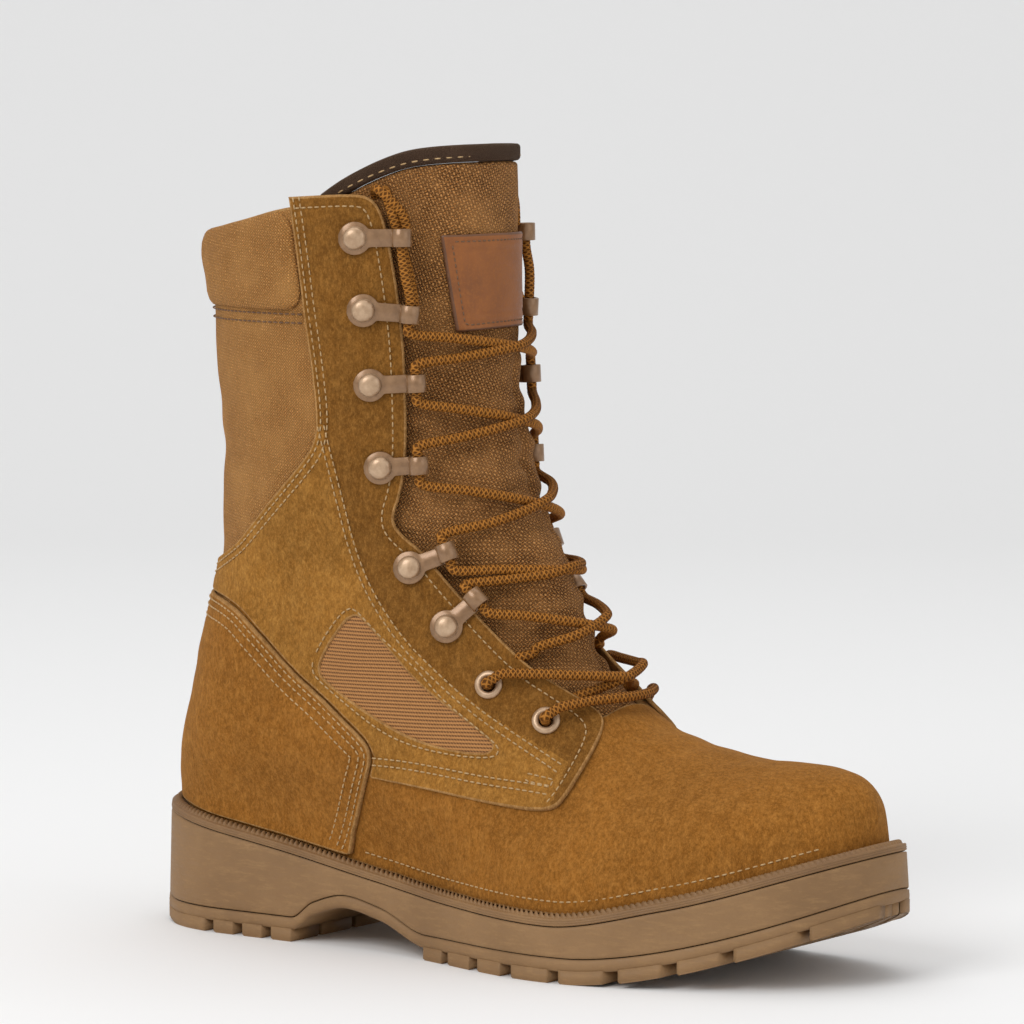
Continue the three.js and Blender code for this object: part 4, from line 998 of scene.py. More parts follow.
# Lace colours: deep is the painted shade in the plaits' hollows and the dark flecks; light is the painted
# highlight on the plaits' tops and the pale fibres.
CORD = cord_finish("lace_braid", (0.07, 0.024, 0.004), (0.33, 0.12, 0.015), (0.55, 0.25, 0.055))
TAPE = woven("tape", (0.045, 0.022, 0.013), (0.115, 0.06, 0.035), (0.16, 0.09, 0.055), 0.9)
LABEL_LEATHER = leather("label_leather", (0.2, 0.06, 0.008), (0.29, 0.09, 0.011), (0.37, 0.135, 0.024))
LABEL_EDGE = leather("label_edge", (0.1, 0.04, 0.015), (0.16, 0.06, 0.02), (0.22, 0.1, 0.04))
LACQUER = lacquer("lacquer", (0.23, 0.122, 0.054), (0.32, 0.178, 0.084), (0.54, 0.36, 0.2))
PEARL = lacquer("pearl", (0.4, 0.25, 0.14), (0.56, 0.385, 0.24), (0.78, 0.6, 0.42))
THREAD = thread_finish("thread", (0.34, 0.2, 0.08), (0.58, 0.4, 0.2))
DARK_THREAD = thread_finish("dark_thread", (0.1, 0.05, 0.025), (0.22, 0.12, 0.06))


# Lines on the form

QUARTER_FACE = OVERLAY_TOP
SIDES = ((-1, "outer"), (1, "inner"))


def placed_line(points, side, offset, spacing=1.6):
    placed, good = place_on(resampled(points, spacing), side, offset)
    return placed[good]


def shifted_line(rows, distance, rounds=3, moved=(0, 0)):
    """A side-view outline, its corners rounded, moved sideways by a distance in millimetres."""
    points = softened(on_side(rows), rounds) + np.asarray(moved)
    way = np.gradient(points, axis=0)
    way /= np.maximum(np.linalg.norm(way, axis=1, keepdims=True), 1e-9)
    return points + np.stack([-way[:, 1], way[:, 0]], 1) * distance


def lip_line(side, rise, offset):
    """Where the form meets the sole's lip, from the toe's tip to the back."""
    angles = np.linspace(0, math.pi, 241)
    line = []
    for t in np.linspace(0, 14, 300):
        spots = surface(t, angles, np.full(len(angles), float(offset)))
        above = spots[:, 2] - lip_height(spots[:, 0]) - rise
        under = np.where(above < 0)[0]
        if not len(under):
            line.append([t, math.pi])
            break
        k = max(under[0], 1)
        share = above[k - 1] / (above[k - 1] - above[k])
        line.append([t, angles[k - 1] + share * (angles[1] - angles[0])])
    line = np.array(line)
    line[:, 1] *= -side
    return line


def behind(line):
    """A line on the inner side, laid on past the back."""
    return line + [0, 2 * math.pi]


def top_of(rows):
    return [(0.375, 1.038), *[row for row in rows if row[1] < 1]]


def upper_loop():
    whole = []
    for side, _ in SIDES:
        lip = lip_line(side, GAP, WALL)
        collar = placed_line(softened(on_side([*COLLAR[:-1], (0.375, 1.038)]), 3), side, WALL)
        throat = placed_line(softened(on_side(top_of(THROAT)[:-1]), 3), side, WALL)
        collar = np.vstack([[[collar[0, 0], -side * math.pi]], collar])
        whole.append(np.vstack([lip, collar, throat]))
    ridge = np.array([[whole[0][-1, 0], 0.0]])
    return np.vstack([whole[0], ridge, whole[1][::-1]])


def quarter_loop(side):
    front = placed_line(softened(on_side(FLAP_FRONT), 3), side, QUARTER_FACE)
    under = placed_line(shifted_line(COUNTER_EDGE[3:], 0, 3, (GAP, 3 * GAP)), side, QUARTER_FACE)
    rear = placed_line(softened(on_side(FLAP_REAR), 3), side, QUARTER_FACE)
    near_back = -side * (math.pi - 0.012)
    ends = [[under[-1, 0], near_back], [rear[-1, 0], near_back]]
    return np.vstack([front, under, ends, rear[::-1][:-1]])


def vent_loop(side, grow=0.0):
    points = softened(on_side(VENT), 3, closed=True)
    middle = points.mean(0)
    if grow:
        away = points - middle
        points = points + away / np.linalg.norm(away, axis=1, keepdims=True) * grow
    placed, _ = place_on(resampled(points, 1.2, closed=True), side, QUARTER_FACE)
    return placed


def counter_loop():
    lines = []
    for side, _ in SIDES:
        edge = placed_line(softened(on_side(COUNTER_EDGE), 3), side, COUNTER_TOP)
        lip = lip_line(side, RIB_HEIGHT + GAP, COUNTER_TOP)
        spots = surface(lip[:, 0], lip[:, 1], np.full(len(lip), COUNTER_TOP))
        lip = lip[spots[:, 0] < last_x(0.314)]
        heights = surface(edge[:, 0], edge[:, 1], np.full(len(edge), COUNTER_TOP))
        edge = edge[heights[:, 2] > lip_height(heights[:, 0]) + RIB_HEIGHT + 3 * GAP]
        lines.append((lip, edge))
    (lip_a, edge_a), (lip_b, edge_b) = lines
    return np.vstack([lip_a, behind(lip_b)[::-1][1:], behind(edge_b), edge_a[::-1]])


def cuff_loop():
    seam = height_at(CUFF_SEAM)
    lines = []
    for side, _ in SIDES:
        rear = shifted_line(FLAP_REAR, 0, 3, (-3 * GAP, 0))
        rear = rear[rear[:, 1] > seam]
        collar = shifted_line(COLLAR, 0, 3, (0, -2 * GAP))
        collar = collar[collar[:, 0] < np.interp(collar[:, 1], rear[::-1, 1], rear[::-1, 0])]
        low = np.array([[rear[-1, 0], seam], [-30.0, seam]])
        lines.append((
            placed_line(collar, side, CUFF_TOP),
            placed_line(rear[rear[:, 1] < collar[-1, 1]], side, CUFF_TOP),
            placed_line(low, side, CUFF_TOP),
        ))
    (top_a, rear_a, low_a), (top_b, rear_b, low_b) = lines
    far = [behind(line)[::-1] for line in (low_b, rear_b, top_b)]
    return np.vstack([top_a, rear_a, low_a, *far])


THROAT_LINE = on_side(THROAT[1:])


def tongue_rise(spots):
    """The tongue's bulge, by the distance in front of the throat's edge."""
    side_view = spots[:, [0, 2]]
    line = np.vstack([on_side(THROAT[:1]), THROAT_LINE])
    best = np.full(len(side_view), 1e9)
    sign = np.ones(len(side_view))
    for a, b in zip(line[:-1], line[1:]):
        way = b - a
        share = np.clip((side_view - a) @ way / (way @ way), 0, 1)
        distance = np.linalg.norm(side_view - a - share[:, None] * way, axis=1)
        cross = way[0] * (side_view[:, 1] - a[1]) - way[1] * (side_view[:, 0] - a[0])
        near = distance < best
        best = np.where(near, distance, best)
        sign = np.where(near, np.where(cross < 0, -1.0, 1.0), sign)
    return TONGUE_BULGE * smooth(BULGE_START, BULGE_FULL, best * sign)


def tongue_top_line(side, drop):
    rows = np.array([[last_x(x), SHAFT_HEIGHT + TONGUE_RISE * z - drop] for x, z in TONGUE_TOP])
    return placed_line(softened(rows, 3), side, TONGUE_BULGE)


def tongue_loop(drop):
    lines = []
    for side, _ in SIDES:
        rear = placed_line(softened(on_side(TONGUE_REAR), 3), side, -2 * GAP)
        top = tongue_top_line(side, drop)
        rear = rear[rear[:, 0] < top[0, 0]]
        lines.append(np.vstack([rear, top]))
    return np.vstack([lines[0], [[lines[0][-1, 0], 0.0]], lines[1][::-1], [[lines[0][0, 0] - 0.1, 0.0]]])


def binding_loop():
    lines = []
    for side, _ in SIDES:
        high = tongue_top_line(side, 0)
        low = tongue_top_line(side, BINDING_BAND)
        keep = surface(low[:, 0], low[:, 1], np.full(len(low), TONGUE_BULGE))[:, 2] > height_at(1.025)
        low = low[keep]
        high = high[np.abs(high[:, 1]) < abs(low[0, 1]) + 0.12]
        lines.append((high, low))
    (high_a, low_a), (high_b, low_b) = lines
    ridge_low, ridge_high = [[low_a[-1, 0], 0.0]], [[high_a[-1, 0], 0.0]]
    return np.vstack([low_a, ridge_low, low_b[::-1], high_b, ridge_high, high_a[::-1]])


def fan_spot_in_front(y, z):
    """Fan coordinates of the front's place with this y and z."""
    t, theta = np.meshgrid(np.linspace(14, TOP, 260), np.linspace(-1.4, 1.4, 260), indexing="ij")
    spots = last_point(t, theta)
    k = np.argmin((spots[..., 1] - y) ** 2 + (spots[..., 2] - z) ** 2)
    return [t.ravel()[k], theta.ravel()[k]]


# Relief

def troughs(lines, depth, width):
    """A relief that sinks along lines given in fan coordinates."""
    flat_lines = [to_plane(line) for line in lines]

    def sink(flat):
        total = np.zeros(len(flat))
        for line in flat_lines:
            low, high = line.min(0) - 4 * width, line.max(0) + 4 * width
            near = ((flat > low) & (flat < high)).all(1)
            if near.any():
                distance = line_distance(flat[near], line)
                total[near] = np.minimum(total[near], -depth * np.exp(-(distance / width) ** 2))
        return total

    return sink


def flow(spots, rows):
    """Soft creases: rows of x, z, side, half-length, width, turn in degrees and depth."""
    total = np.zeros(len(spots))
    for x, z, side, reach, width, turn, depth in rows:
        angle = math.radians(turn)
        off = spots[:, [0, 2]] - [x, z]
        along = off[:, 0] * math.cos(angle) + off[:, 1] * math.sin(angle)
        across = -off[:, 0] * math.sin(angle) + off[:, 1] * math.cos(angle) + 0.012 * along ** 2
        on = np.ones(len(spots)) if side == 0 else smooth(-4, 6, side * spots[:, 1])
        total -= depth * on * np.exp(-(along / reach) ** 2 - (across / width) ** 2)
    return total


VAMP_CREASES = [
    [206, 74, 0, 24, 5, 62, 0.9],
    [222, 70, 0, 26, 6, 66, 0.7],
    [238, 66, 0, 22, 7, 70, 0.45],
    [186, 50, -1, 22, 5, 20, 0.5],
    [150, 44, 0, 26, 5, 8, 0.4],
]
SHAFT_CREASES = [
    [52, 205, 0, 26, 8, 8, 0.7],
    [48, 182, 0, 22, 6, -12, 0.6],
    [66, 168, 0, 20, 5, 24, 0.5],
]
QUARTER_CREASES = [
    [112, 150, 0, 18, 6, 40, 0.9],
    [84, 140, 0, 24, 7, 18, 0.9],
    [60, 126, 0, 26, 6, -10, 0.7],
    [104, 128, 0, 16, 6, 62, 0.6],
    [106, 196, 0, 20, 7, 84, 0.4],
    [118, 222, 0, 16, 6, 78, 0.3],
    [150, 74, 0, 26, 6, -8, 0.4],
]
COUNTER_CREASES = [
    [44, 96, 0, 24, 8, 30, 0.5],
    [72, 66, 0, 22, 8, 80, 0.4],
]


def thickened(base, top, roll=1.0):
    """Rows of a rolled edge, from the base's outline to the full height."""
    rise = top - base
    steps = ((0, 0), (0, 0.45), (0.22, 0.8), (0.6, 0.97), (1, 1))
    return [(roll * a, base + rise * b) for a, b in steps]


# Upper and its panels

def stitch_lines(side):
    """Stitch rows of a side's panels, with the height they lie at."""
    rows = []
    rows.append((placed_line(shifted_line(FLAP_FRONT[:20], -4.2)[3:], side, QUARTER_FACE), QUARTER_FACE))
    for distance in (2.2, 4.8):
        rows.append((placed_line(shifted_line(FLAP_REAR, distance), side, QUARTER_FACE), QUARTER_FACE))
    for distance in (0, 2.6):
        rows.append((placed_line(shifted_line(SEAM_ROW, distance), side, QUARTER_FACE), QUARTER_FACE))
    for distance in (0, 2.6):
        rows.append((placed_line(shifted_line(SIDE_ROW, distance), side, QUARTER_FACE), QUARTER_FACE))
    rows.append((placed_line(on_side(BARTACK), side, QUARTER_FACE, 0.9), QUARTER_FACE))
    rows.append((vent_loop(side, 3.2), QUARTER_FACE))
    for distance in (2.2, 4.8, 8.6):
        line = placed_line(shifted_line(COUNTER_EDGE[1:], distance), side, COUNTER_TOP)
        rows.append((line, COUNTER_TOP))
    return rows


STITCHES = {side: stitch_lines(side) for side, _ in SIDES}
EYELET_HOLES = {}
for side, _ in SIDES:
    for k, (x, z, _, _) in enumerate(EYELETS):
        turns = np.linspace(0, 2 * math.pi, 26, endpoint=False)
        ring = on_side([(x, z)]) + (EYELET_BORE + GAP) * np.stack([np.cos(turns), np.sin(turns)], 1)
        EYELET_HOLES[side, k] = place_on(ring, side, QUARTER_FACE)[0]


def upper_relief(spots, flat):
    swell = 0.25 * waves(spots, 34, 1) + 0.12 * waves(spots, 13, 2)
    return swell + flow(spots, VAMP_CREASES + SHAFT_CREASES)


def upper_paint(spots):
    """Suede on the vamp, woven fabric up the back of the shaft."""
    return (spots[:, 2] > height_at(0.47)).astype(int)


SEAM_LINE = shifted_line(SEAM_ROW, 1.3)[::-1]


def quarter_paint(spots):
    """Darker suede on the eyestay, in front of the seam, and lighter suede behind it."""
    seam = np.interp(spots[:, 2], SEAM_LINE[:, 1], SEAM_LINE[:, 0])
    eyestay = (spots[:, 0] > seam) | (spots[:, 2] > SEAM_LINE[-1, 1])
    return np.where(eyestay, 0, 2)


upper = panel(
    "upper_shell", upper_loop(), list(EYELET_HOLES.values()), thickened(0, WALL), 0,
    [SUEDE, FABRIC, LINING, RAW_EDGE], relief=upper_relief, paint=upper_paint, spacing=1.7, edge_slot=3,
    under_slot=2, seams=True,
)
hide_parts("upper")

for side, word in SIDES:
    quarter_rows = [line for line, height in STITCHES[side] if height == QUARTER_FACE]
    sink = troughs(quarter_rows, 0.4, 0.9)

    def quarter_relief(spots, flat, sink=sink):
        swell = 0.16 * waves(spots, 26, 3) + 0.07 * waves(spots, 9, 4)
        return swell + flow(spots, QUARTER_CREASES) + sink(flat)

    holes = [vent_loop(side), EYELET_HOLES[side, 0], EYELET_HOLES[side, 1]]
    quarter = panel(
        f"quarter_panel_{word}", quarter_loop(side), holes,
        thickened(WALL + GAP, QUARTER_FACE, 0.9), WALL + GAP, [SUEDE_DARK, RAW_EDGE, SUEDE_SIDE],
        relief=quarter_relief, paint=quarter_paint, spacing=1.25, edge_slot=1, under_slot=1,
    )
    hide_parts(f"quarter_{word}")

    def rib_relief(spots, flat):
        return 0.22 * np.sin(2 * math.pi * spots[:, 2] / 1.3) + 0.1 * waves(spots, 12, 5)

    vent = panel(
        f"vent_mesh_{word}", vent_loop(side, 1.6), [], [(0, WALL), (0, WALL + 0.75)], WALL, [MESH],
        relief=rib_relief, spacing=0.5,
    )


def counter_relief(spots, flat, sink=troughs(
    [line for side, _ in SIDES for line, height in STITCHES[side] if height == COUNTER_TOP and side < 0]
    + [behind(line) for line, height in STITCHES[1] if height == COUNTER_TOP], 0.4, 0.9,
)):
    return 0.2 * waves(spots, 30, 6) + 0.08 * waves(spots, 10, 7) + flow(spots, COUNTER_CREASES) + sink(flat)


counter = panel(
    "heel_panel", counter_loop(), [], thickened(WALL + GAP, COUNTER_TOP, 1.1), WALL + GAP, [SUEDE, RAW_EDGE],
    relief=counter_relief, spacing=1.5, edge_slot=1, under_slot=1,
)
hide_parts("heel_counter")


def cuff_relief(spots, flat):
    return 0.3 * waves(spots, 24, 8) + 0.1 * waves(spots, 9, 9)


PUFF = [(0, WALL + GAP), (0, 3.3), (0.5, 3.9), (1.4, 4.6), (2.8, 5.1), (4.6, CUFF_TOP)]
cuff = panel(
    "collar_pad", cuff_loop(), [], PUFF, WALL + GAP, [FABRIC], relief=cuff_relief, spacing=1.5, corner=7.0,
)
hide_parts("collar_cuff")

# Tongue

TONGUE_FOLDS = [
    [152, 122, 0, 40, 3.2, 118, 1.1],
    [158, 106, 0, 20, 3, 150, 0.9],
    [143, 150, 0, 24, 3, 104, 0.8],
    [140, 196, 0, 40, 3, 92, 0.6],
    [170, 100, 0, 14, 3, 170, 0.8],
]


def tongue_relief(spots, flat):
    """A valley off the middle, and wrinkles between the laces."""
    drift = 8 + 2.5 * np.sin(spots[:, 2] / 17)
    valley = -2.4 * np.exp(-((spots[:, 1] - drift) / 2.6) ** 2) * smooth(238, 205, spots[:, 2])
    wrinkles = 0.8 * waves(spots * [1, 0.5, 1.7], 14, 10) * smooth(235, 200, spots[:, 2])
    return valley + wrinkles + 0.25 * waves(spots, 30, 11) + flow(spots, TONGUE_FOLDS)


TONGUE_BASE = -2 * GAP - TONGUE_THICKNESS
tongue = panel(
    "tongue_pad", tongue_loop(BINDING_BAND + GAP), [], thickened(TONGUE_BASE, -2 * GAP, 1.6), TONGUE_BASE,
    [TONGUE_CLOTH, LINING], relief=tongue_relief, carry=tongue_rise, spacing=1.4, under_slot=1, upright=False,
)
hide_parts("tongue")

BINDING_ROLL = 0.9
binding = panel(
    "tongue_tape", binding_loop(), [],
    [(0, TONGUE_BASE - 0.5), (-0.2, -3), (0, -0.6), (0.6, 0.1), (1.4, 0.3)], TONGUE_BASE - BINDING_ROLL,
    [TAPE], carry=tongue_rise, spacing=1.1, upright=False,
)
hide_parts("tongue_binding")

LABEL_CORNERS = np.array([fan_spot_in_front(y * LAST_HALF, float(height_at(z))) for y, z in LABEL])
LABEL_MIDDLE = LABEL_CORNERS.mean(0)


def label_ring(share):
    return LABEL_MIDDLE + (LABEL_CORNERS - LABEL_MIDDLE) * share


def label_outline(share):
    plane = to_plane(label_ring(share))
    return np.stack(from_plane(softened(resampled(plane, 1.5, closed=True), 2, closed=True)), 1)


LABEL_ROW = label_outline(0.86)
LABEL_FRAME = label_outline(0.66)
label = panel(
    "tongue_patch", label_outline(1), [], [(0, 0.1), (0, 0.7), (0.3, 1.05), (0.8, 1.2)], 0.1,
    [LABEL_LEATHER, LABEL_EDGE], carry=tongue_rise, spacing=0.9, edge_slot=1, under_slot=1, upright=False,
    relief=lambda spots, flat: troughs([LABEL_ROW], 0.35, 0.7)(flat) + troughs([LABEL_FRAME], 0.3, 0.8)(flat),
)
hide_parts("tongue_label")


# Stitches

def stitch_bodies(line, offset, pitch=2.7, length=2.0, thick=0.32, carry=None):
    """One rounded stitch after another along a line in fan coordinates."""
    base = last_point(line[:, 0], line[:, 1])
    lift = np.full(len(line), float(offset))
    if carry is not None:
        lift = lift + carry(base)
    spots = surface(line[:, 0], line[:, 1], lift)
    normals = OUTWARD * last_normal(line[:, 0], line[:, 1])
    run = np.concatenate([[0], np.cumsum(np.linalg.norm(np.diff(spots, axis=0), axis=1))])
    count = int(run[-1] / pitch)
    if count < 1:
        return
    middles = (np.arange(count) + 0.5) * pitch
    for middle in middles:
        places = (middle - length / 2, middle + length / 2)
        ends = [np.array([np.interp(place, run, spots[:, k]) for k in range(3)]) for place in places]
        normal = np.array([np.interp(middle, run, normals[:, k]) for k in range(3)])
        if np.linalg.norm(ends[1] - ends[0]) < 0.6 * length:
            continue
        yield ends[0], ends[1], normal / np.linalg.norm(normal), thick


def capsule(start, end, normal, thick):
    way = end - start
    length = np.linalg.norm(way)
    way = way / length
    across = np.cross(way, normal)
    across /= np.linalg.norm(across)
    up = np.cross(across, way)
    steps = ((0.03, 0.35, -0.5), (0.14, 0.85, -0.1), (0.5, 1.0, 0.1), (0.86, 0.85, -0.1), (0.97, 0.35, -0.5))
    turns = np.arange(6) / 6 * 2 * math.pi
    ring = np.cos(turns)[:, None] * across + np.sin(turns)[:, None] * up
    vertices = np.vstack([start + way * length * s + ring * thick * r + up * thick * h for s, r, h in steps])
    faces = [list(f) for f in grid_faces(len(steps), 6, closed_columns=True)]
    faces += [list(range(6)), [len(vertices) - 1 - i for i in range(6)]]
    return vertices, faces


def sew(parts, line, offset, **sizes):
    for start, end, normal, thick in stitch_bodies(line, offset, **sizes):
        parts.add(*capsule(start, end, normal, thick))


for side, word in SIDES:
    seams = Parts()
    for line, height in STITCHES[side]:
        sew(seams, line, height - 0.12)
    lip = lip_line(side, RIB_HEIGHT + 3.4, WALL)
    spots = last_point(lip[:, 0], lip[:, 1])
    ahead = (spots[:, 0] > last_x(0.33)) & (spots[:, 0] < last_x(0.97))
    sew(seams, lip[ahead], WALL + 0.12, pitch=2.8, length=2.0)
    seams.make(f"stitching_{word}", THREAD)

dark = Parts()
for side, _ in SIDES:
    for below in (1.4, 4.6):
        seam_z = height_at(CUFF_SEAM) - below
        line = placed_line(np.array([[last_x(0.285), seam_z], [-30.0, seam_z]]), side, WALL)
        sew(dark, line, WALL + 0.3, pitch=2.8, length=2.1)
dark.make("collar_stitching", DARK_THREAD)

marks = Parts()
sew(marks, np.vstack([LABEL_ROW, LABEL_ROW[:1]]), 0.95, pitch=2.2, length=1.6, thick=0.28, carry=tongue_rise)
marks.make("patch_stitching", DARK_THREAD)
pale = Parts()
for side, _ in SIDES:
    edge = tongue_top_line(side, BINDING_BAND - 1.8)
    sew(pale, edge, 0.25, pitch=4.2, length=2.6, thick=0.32, carry=tongue_rise)
pale.make("tape_stitching", THREAD)


# Places of the hooks, eyelets and laces

def form_tree(offset, carry=None):
    t = np.linspace(5, TOP, 150)
    theta = np.linspace(-math.pi + 0.01, math.pi - 0.01, 220)
    grid_t, grid_theta = [g.ravel() for g in np.meshgrid(t, theta, indexing="ij")]
    lift = np.full(len(grid_t), float(offset))
    if carry is not None:
        lift = lift + carry(last_point(grid_t, grid_theta))
    vertices = surface(grid_t, grid_theta, lift)
    faces = grid_faces(len(t), len(theta))
    return BVHTree.FromPolygons([Vector(v) for v in vertices.tolist()], [tuple(f) for f in faces.tolist()])


QUARTER_TREE = form_tree(QUARTER_FACE)
TONGUE_TREE = form_tree(0, tongue_rise)
FAR = 400.0


def unit(v):
    return v / np.linalg.norm(v)


def hit(tree, start, way):
    spot, normal, _, _ = tree.ray_cast(Vector(start), Vector(way))
    if spot is None:
        return None
    normal = np.array(normal)
    return np.array(spot), normal if normal @ way < 0 else -normal


def surface_point(x, z, side):
    return hit(QUARTER_TREE, np.array([last_x(x), side * FAR, height_at(z)]), np.array([0, -side, 0.0]))


LOOP_RADIUS = LACE_RADIUS + 3 * GAP + HOOK_THICKNESS / 2
LOOP_TURN = 1.62 * math.pi


class Hook:
    """A lace loop's place: its stud, the way to the loop, and its height over the quarter."""

    def __init__(self, row, side):
        x, z, loop_x, loop_z = row
        self.stud, _ = surface_point(x, z, side)
        loop, _ = surface_point(loop_x, loop_z, side)
        _, normal = surface_point((x + loop_x) / 2, (z + loop_z) / 2, side)
        length = np.linalg.norm(loop - self.stud)
        self.along = (loop - self.stud) / length
        self.out = unit(normal - (normal @ self.along) * self.along)
        self.across = unit(np.cross(self.out, self.along))
        self.end = length - LOOP_SET_BACK
        steps = np.array([-0.97, -0.8, -0.45, 0, 0.45, 0.84]) * HOOK_PLATE
        self.plate_lift = max(self.lift(u, HOOK_PLATE) for u in steps)
        self.loop_lift = self.lift(self.end, HOOK_STRAP)
        self.centre = self.spot(self.end, self.loop_lift + LOOP_RADIUS)

    def spot(self, u, h, v=0.0):
        return self.stud + self.along * u + self.out * h + self.across * v

    def lift(self, u, half):
        heights = []
        for v in (-1, -0.5, 0, 0.5, 1):
            spot = self.spot(u, 0, v * half)
            found = hit(QUARTER_TREE, spot + self.out * LAST_HALF, -self.out)
            heights.append(0 if found is None else (found[0] - spot) @ self.out)
        return max(heights) + GAP + HOOK_THICKNESS / 2

    def height(self, u):
        share = smooth(HOOK_PLATE * 0.8, self.end * 0.8, u)
        return self.plate_lift * (1 - share) + self.loop_lift * share


def in_front(trees, point, lift=0.0):
    best = point
    for tree in trees:
        found = hit(tree, np.array([FAR, point[1], point[2]]), np.array([-1.0, 0, 0]))
        if found is not None:
            clear = found[0] + found[1] * (LACE_RADIUS + 5 * GAP + lift)
            if clear[0] > best[0]:
                best = clear
    return best


HOOK_PLACES = {side: [Hook(row, side) for row in HOOKS] for side, _ in SIDES}
EYELET_SEATS = {side: [surface_point(row[0], row[1], side) for row in EYELETS] for side, _ in SIDES}


def flap_end(row, side):
    spot, _ = surface_point(row[2], row[3], side)
    spot = np.array([0.0, spot[1] - side * 2 * LACE_RADIUS * 1.5, spot[2]])
    way = unit(np.array([0.35, -side, 0.25]))
    under = [in_front([TONGUE_TREE], spot - way * reach, -1.3) for reach in (9, 5)]
    return in_front([TONGUE_TREE], spot), way, True, under


def loop_end(hook, up):
    way = hook.across * np.sign(hook.across[2]) * up
    return hook.centre + way * GAP, way, False, []


def eyelet_end(seat, side):
    point, normal = seat
    way = np.array([0.35, -side, 0.25])
    way = unit(way - (way @ normal) * normal)
    over = point + normal * (5 * GAP + EYELET_THICKNESS + LACE_RADIUS)
    return over, way, False, [point - normal * 3, over - normal * 2.4 - way * 0.3]


def strand(low, high, lift):
    legs = (HOOK_STRAP + 2 * GAP, HOOK_STRAP + 2 * LACE_RADIUS * 0.8)
    start = [low[0] + low[1] * leg for leg in legs]
    if low[2]:
        start = [in_front([TONGUE_TREE], p) for p in start]
    finish = [high[0] + high[1] * leg for leg in legs][::-1]
    middle = []
    for share in (0.2, 0.37, 0.5, 0.63, 0.8):
        crossing = math.exp(-(((share - 0.5) / 0.13) ** 2))
        spot = start[1] + (finish[0] - start[1]) * share
        middle.append(in_front([TONGUE_TREE, QUARTER_TREE], spot, lift * crossing))
    return [*low[3], low[0], *start, *middle, *finish, high[0], *high[3][::-1]]


LEVELS = [
    [
        {s: flap_end(EYELETS[1], s) for s, _ in SIDES},
        {s: eyelet_end(EYELET_SEATS[s][0], s) for s, _ in SIDES},
    ],
    [
        {s: flap_end(EYELETS[0], s) for s, _ in SIDES},
        {s: loop_end(HOOK_PLACES[s][-1], -1) for s, _ in SIDES},
    ],
]
for k in range(len(HOOKS) - 1, 1, -1):
    LEVELS.append([
        {s: loop_end(HOOK_PLACES[s][k], 1) for s, _ in SIDES},
        {s: loop_end(HOOK_PLACES[s][k - 1], -1) for s, _ in SIDES},
    ])

BRAID_SIDES = 18
BRAID_PITCH = 3.4


def braid(parts, points):
    """A round braided lace along a path, its plaits raised."""
    path = catmull(points, 0.5)
    way, ups, sides = frames_along(path, [1, 0.2, 0.3])
    run = np.concatenate([[0], np.cumsum(np.linalg.norm(np.diff(path, axis=0), axis=1))])
    turn = np.arange(BRAID_SIDES) / BRAID_SIDES * 2 * math.pi
    phase = run[:, None] * 2 * math.pi / BRAID_PITCH * 2
    first = np.cos(phase + 4 * turn[None, :])
    second = np.cos(phase - 4 * turn[None, :])
    radius = LACE_RADIUS * (0.98 + 0.08 * np.maximum(first, second))
    radius = radius * (1 + 0.02 * np.sin(run * 0.21)[:, None])
    radius[[0, -1]] *= 0.7
    ring = np.cos(turn)[None, :, None] * ups[:, None] + np.sin(turn)[None, :, None] * sides[:, None]
    vertices = path[:, None] + ring * radius[..., None]
    body, faces = tube(vertices)
    folded = np.abs((turn * 4 + math.pi) % (2 * math.pi) - math.pi)
    uvs = np.stack(np.broadcast_arrays(phase, folded[None, :]), -1).reshape(-1, 2)
    parts.add(body, faces, uvs)


for number, (low, high) in enumerate(LEVELS, 1):
    crossing = Parts()
    braid(crossing, strand(low[-1], high[1], 2 * LACE_RADIUS * 0.75))
    braid(crossing, strand(low[1], high[-1], 0.0))
    made = crossing.make(f"lace_cross_{number}", CORD)
    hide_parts(f"lace_crossing_{number}")

bar = Parts()
braid(bar, strand(*[eyelet_end(EYELET_SEATS[s][1], s) for s, _ in SIDES], 0.0))
bar = bar.make("lace_across", CORD)
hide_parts("lace_bar")

for side, word in SIDES:
    top, second = HOOK_PLACES[side][:2]
    low, high = loop_end(second, 1), loop_end(top, -1)
    leg = HOOK_STRAP + LACE_RADIUS
    bow = (low[0] + high[0]) / 2 + top.out * 3 * GAP
    riser = Parts()
    braid(riser, [low[0], low[0] + low[1] * leg, bow, high[0] + high[1] * leg, high[0]])
    made = riser.make(f"lace_up_{word}", CORD)
    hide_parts(f"lace_riser_{word}")


# Lace ends over the flap's top and behind it: x, z and height over the form
TUCKS = [
    [
        (0.412, 0.995, 4.2), (0.408, 1.018, 4.6), (0.398, 1.036, 5.2), (0.385, 1.05, 4.6),
        (0.374, 1.052, 1.5), (0.366, 1.04, -2.6),
    ],
    [
        (0.378, 1.05, -1.5), (0.388, 1.045, 2.6), (0.398, 1.02, 4.6), (0.404, 0.985, 3.6),
        (0.409, 0.95, 2.6), (0.415, 0.915, 2.8), (0.422, 0.892, 5.0),
    ],
]
for side, word in SIDES:
    ends = Parts()
    for rows in TUCKS:
        points = []
        for x, z, offset in rows:
            placed, _ = place_on(on_side([(x, z)]), side, offset)
            points.append(surface(placed[:, 0], placed[:, 1], np.array([offset]))[0])
        braid(ends, points)
    ends.make(f"lace_tuck_{word}", CORD)


# Hooks, rivets and eyelets

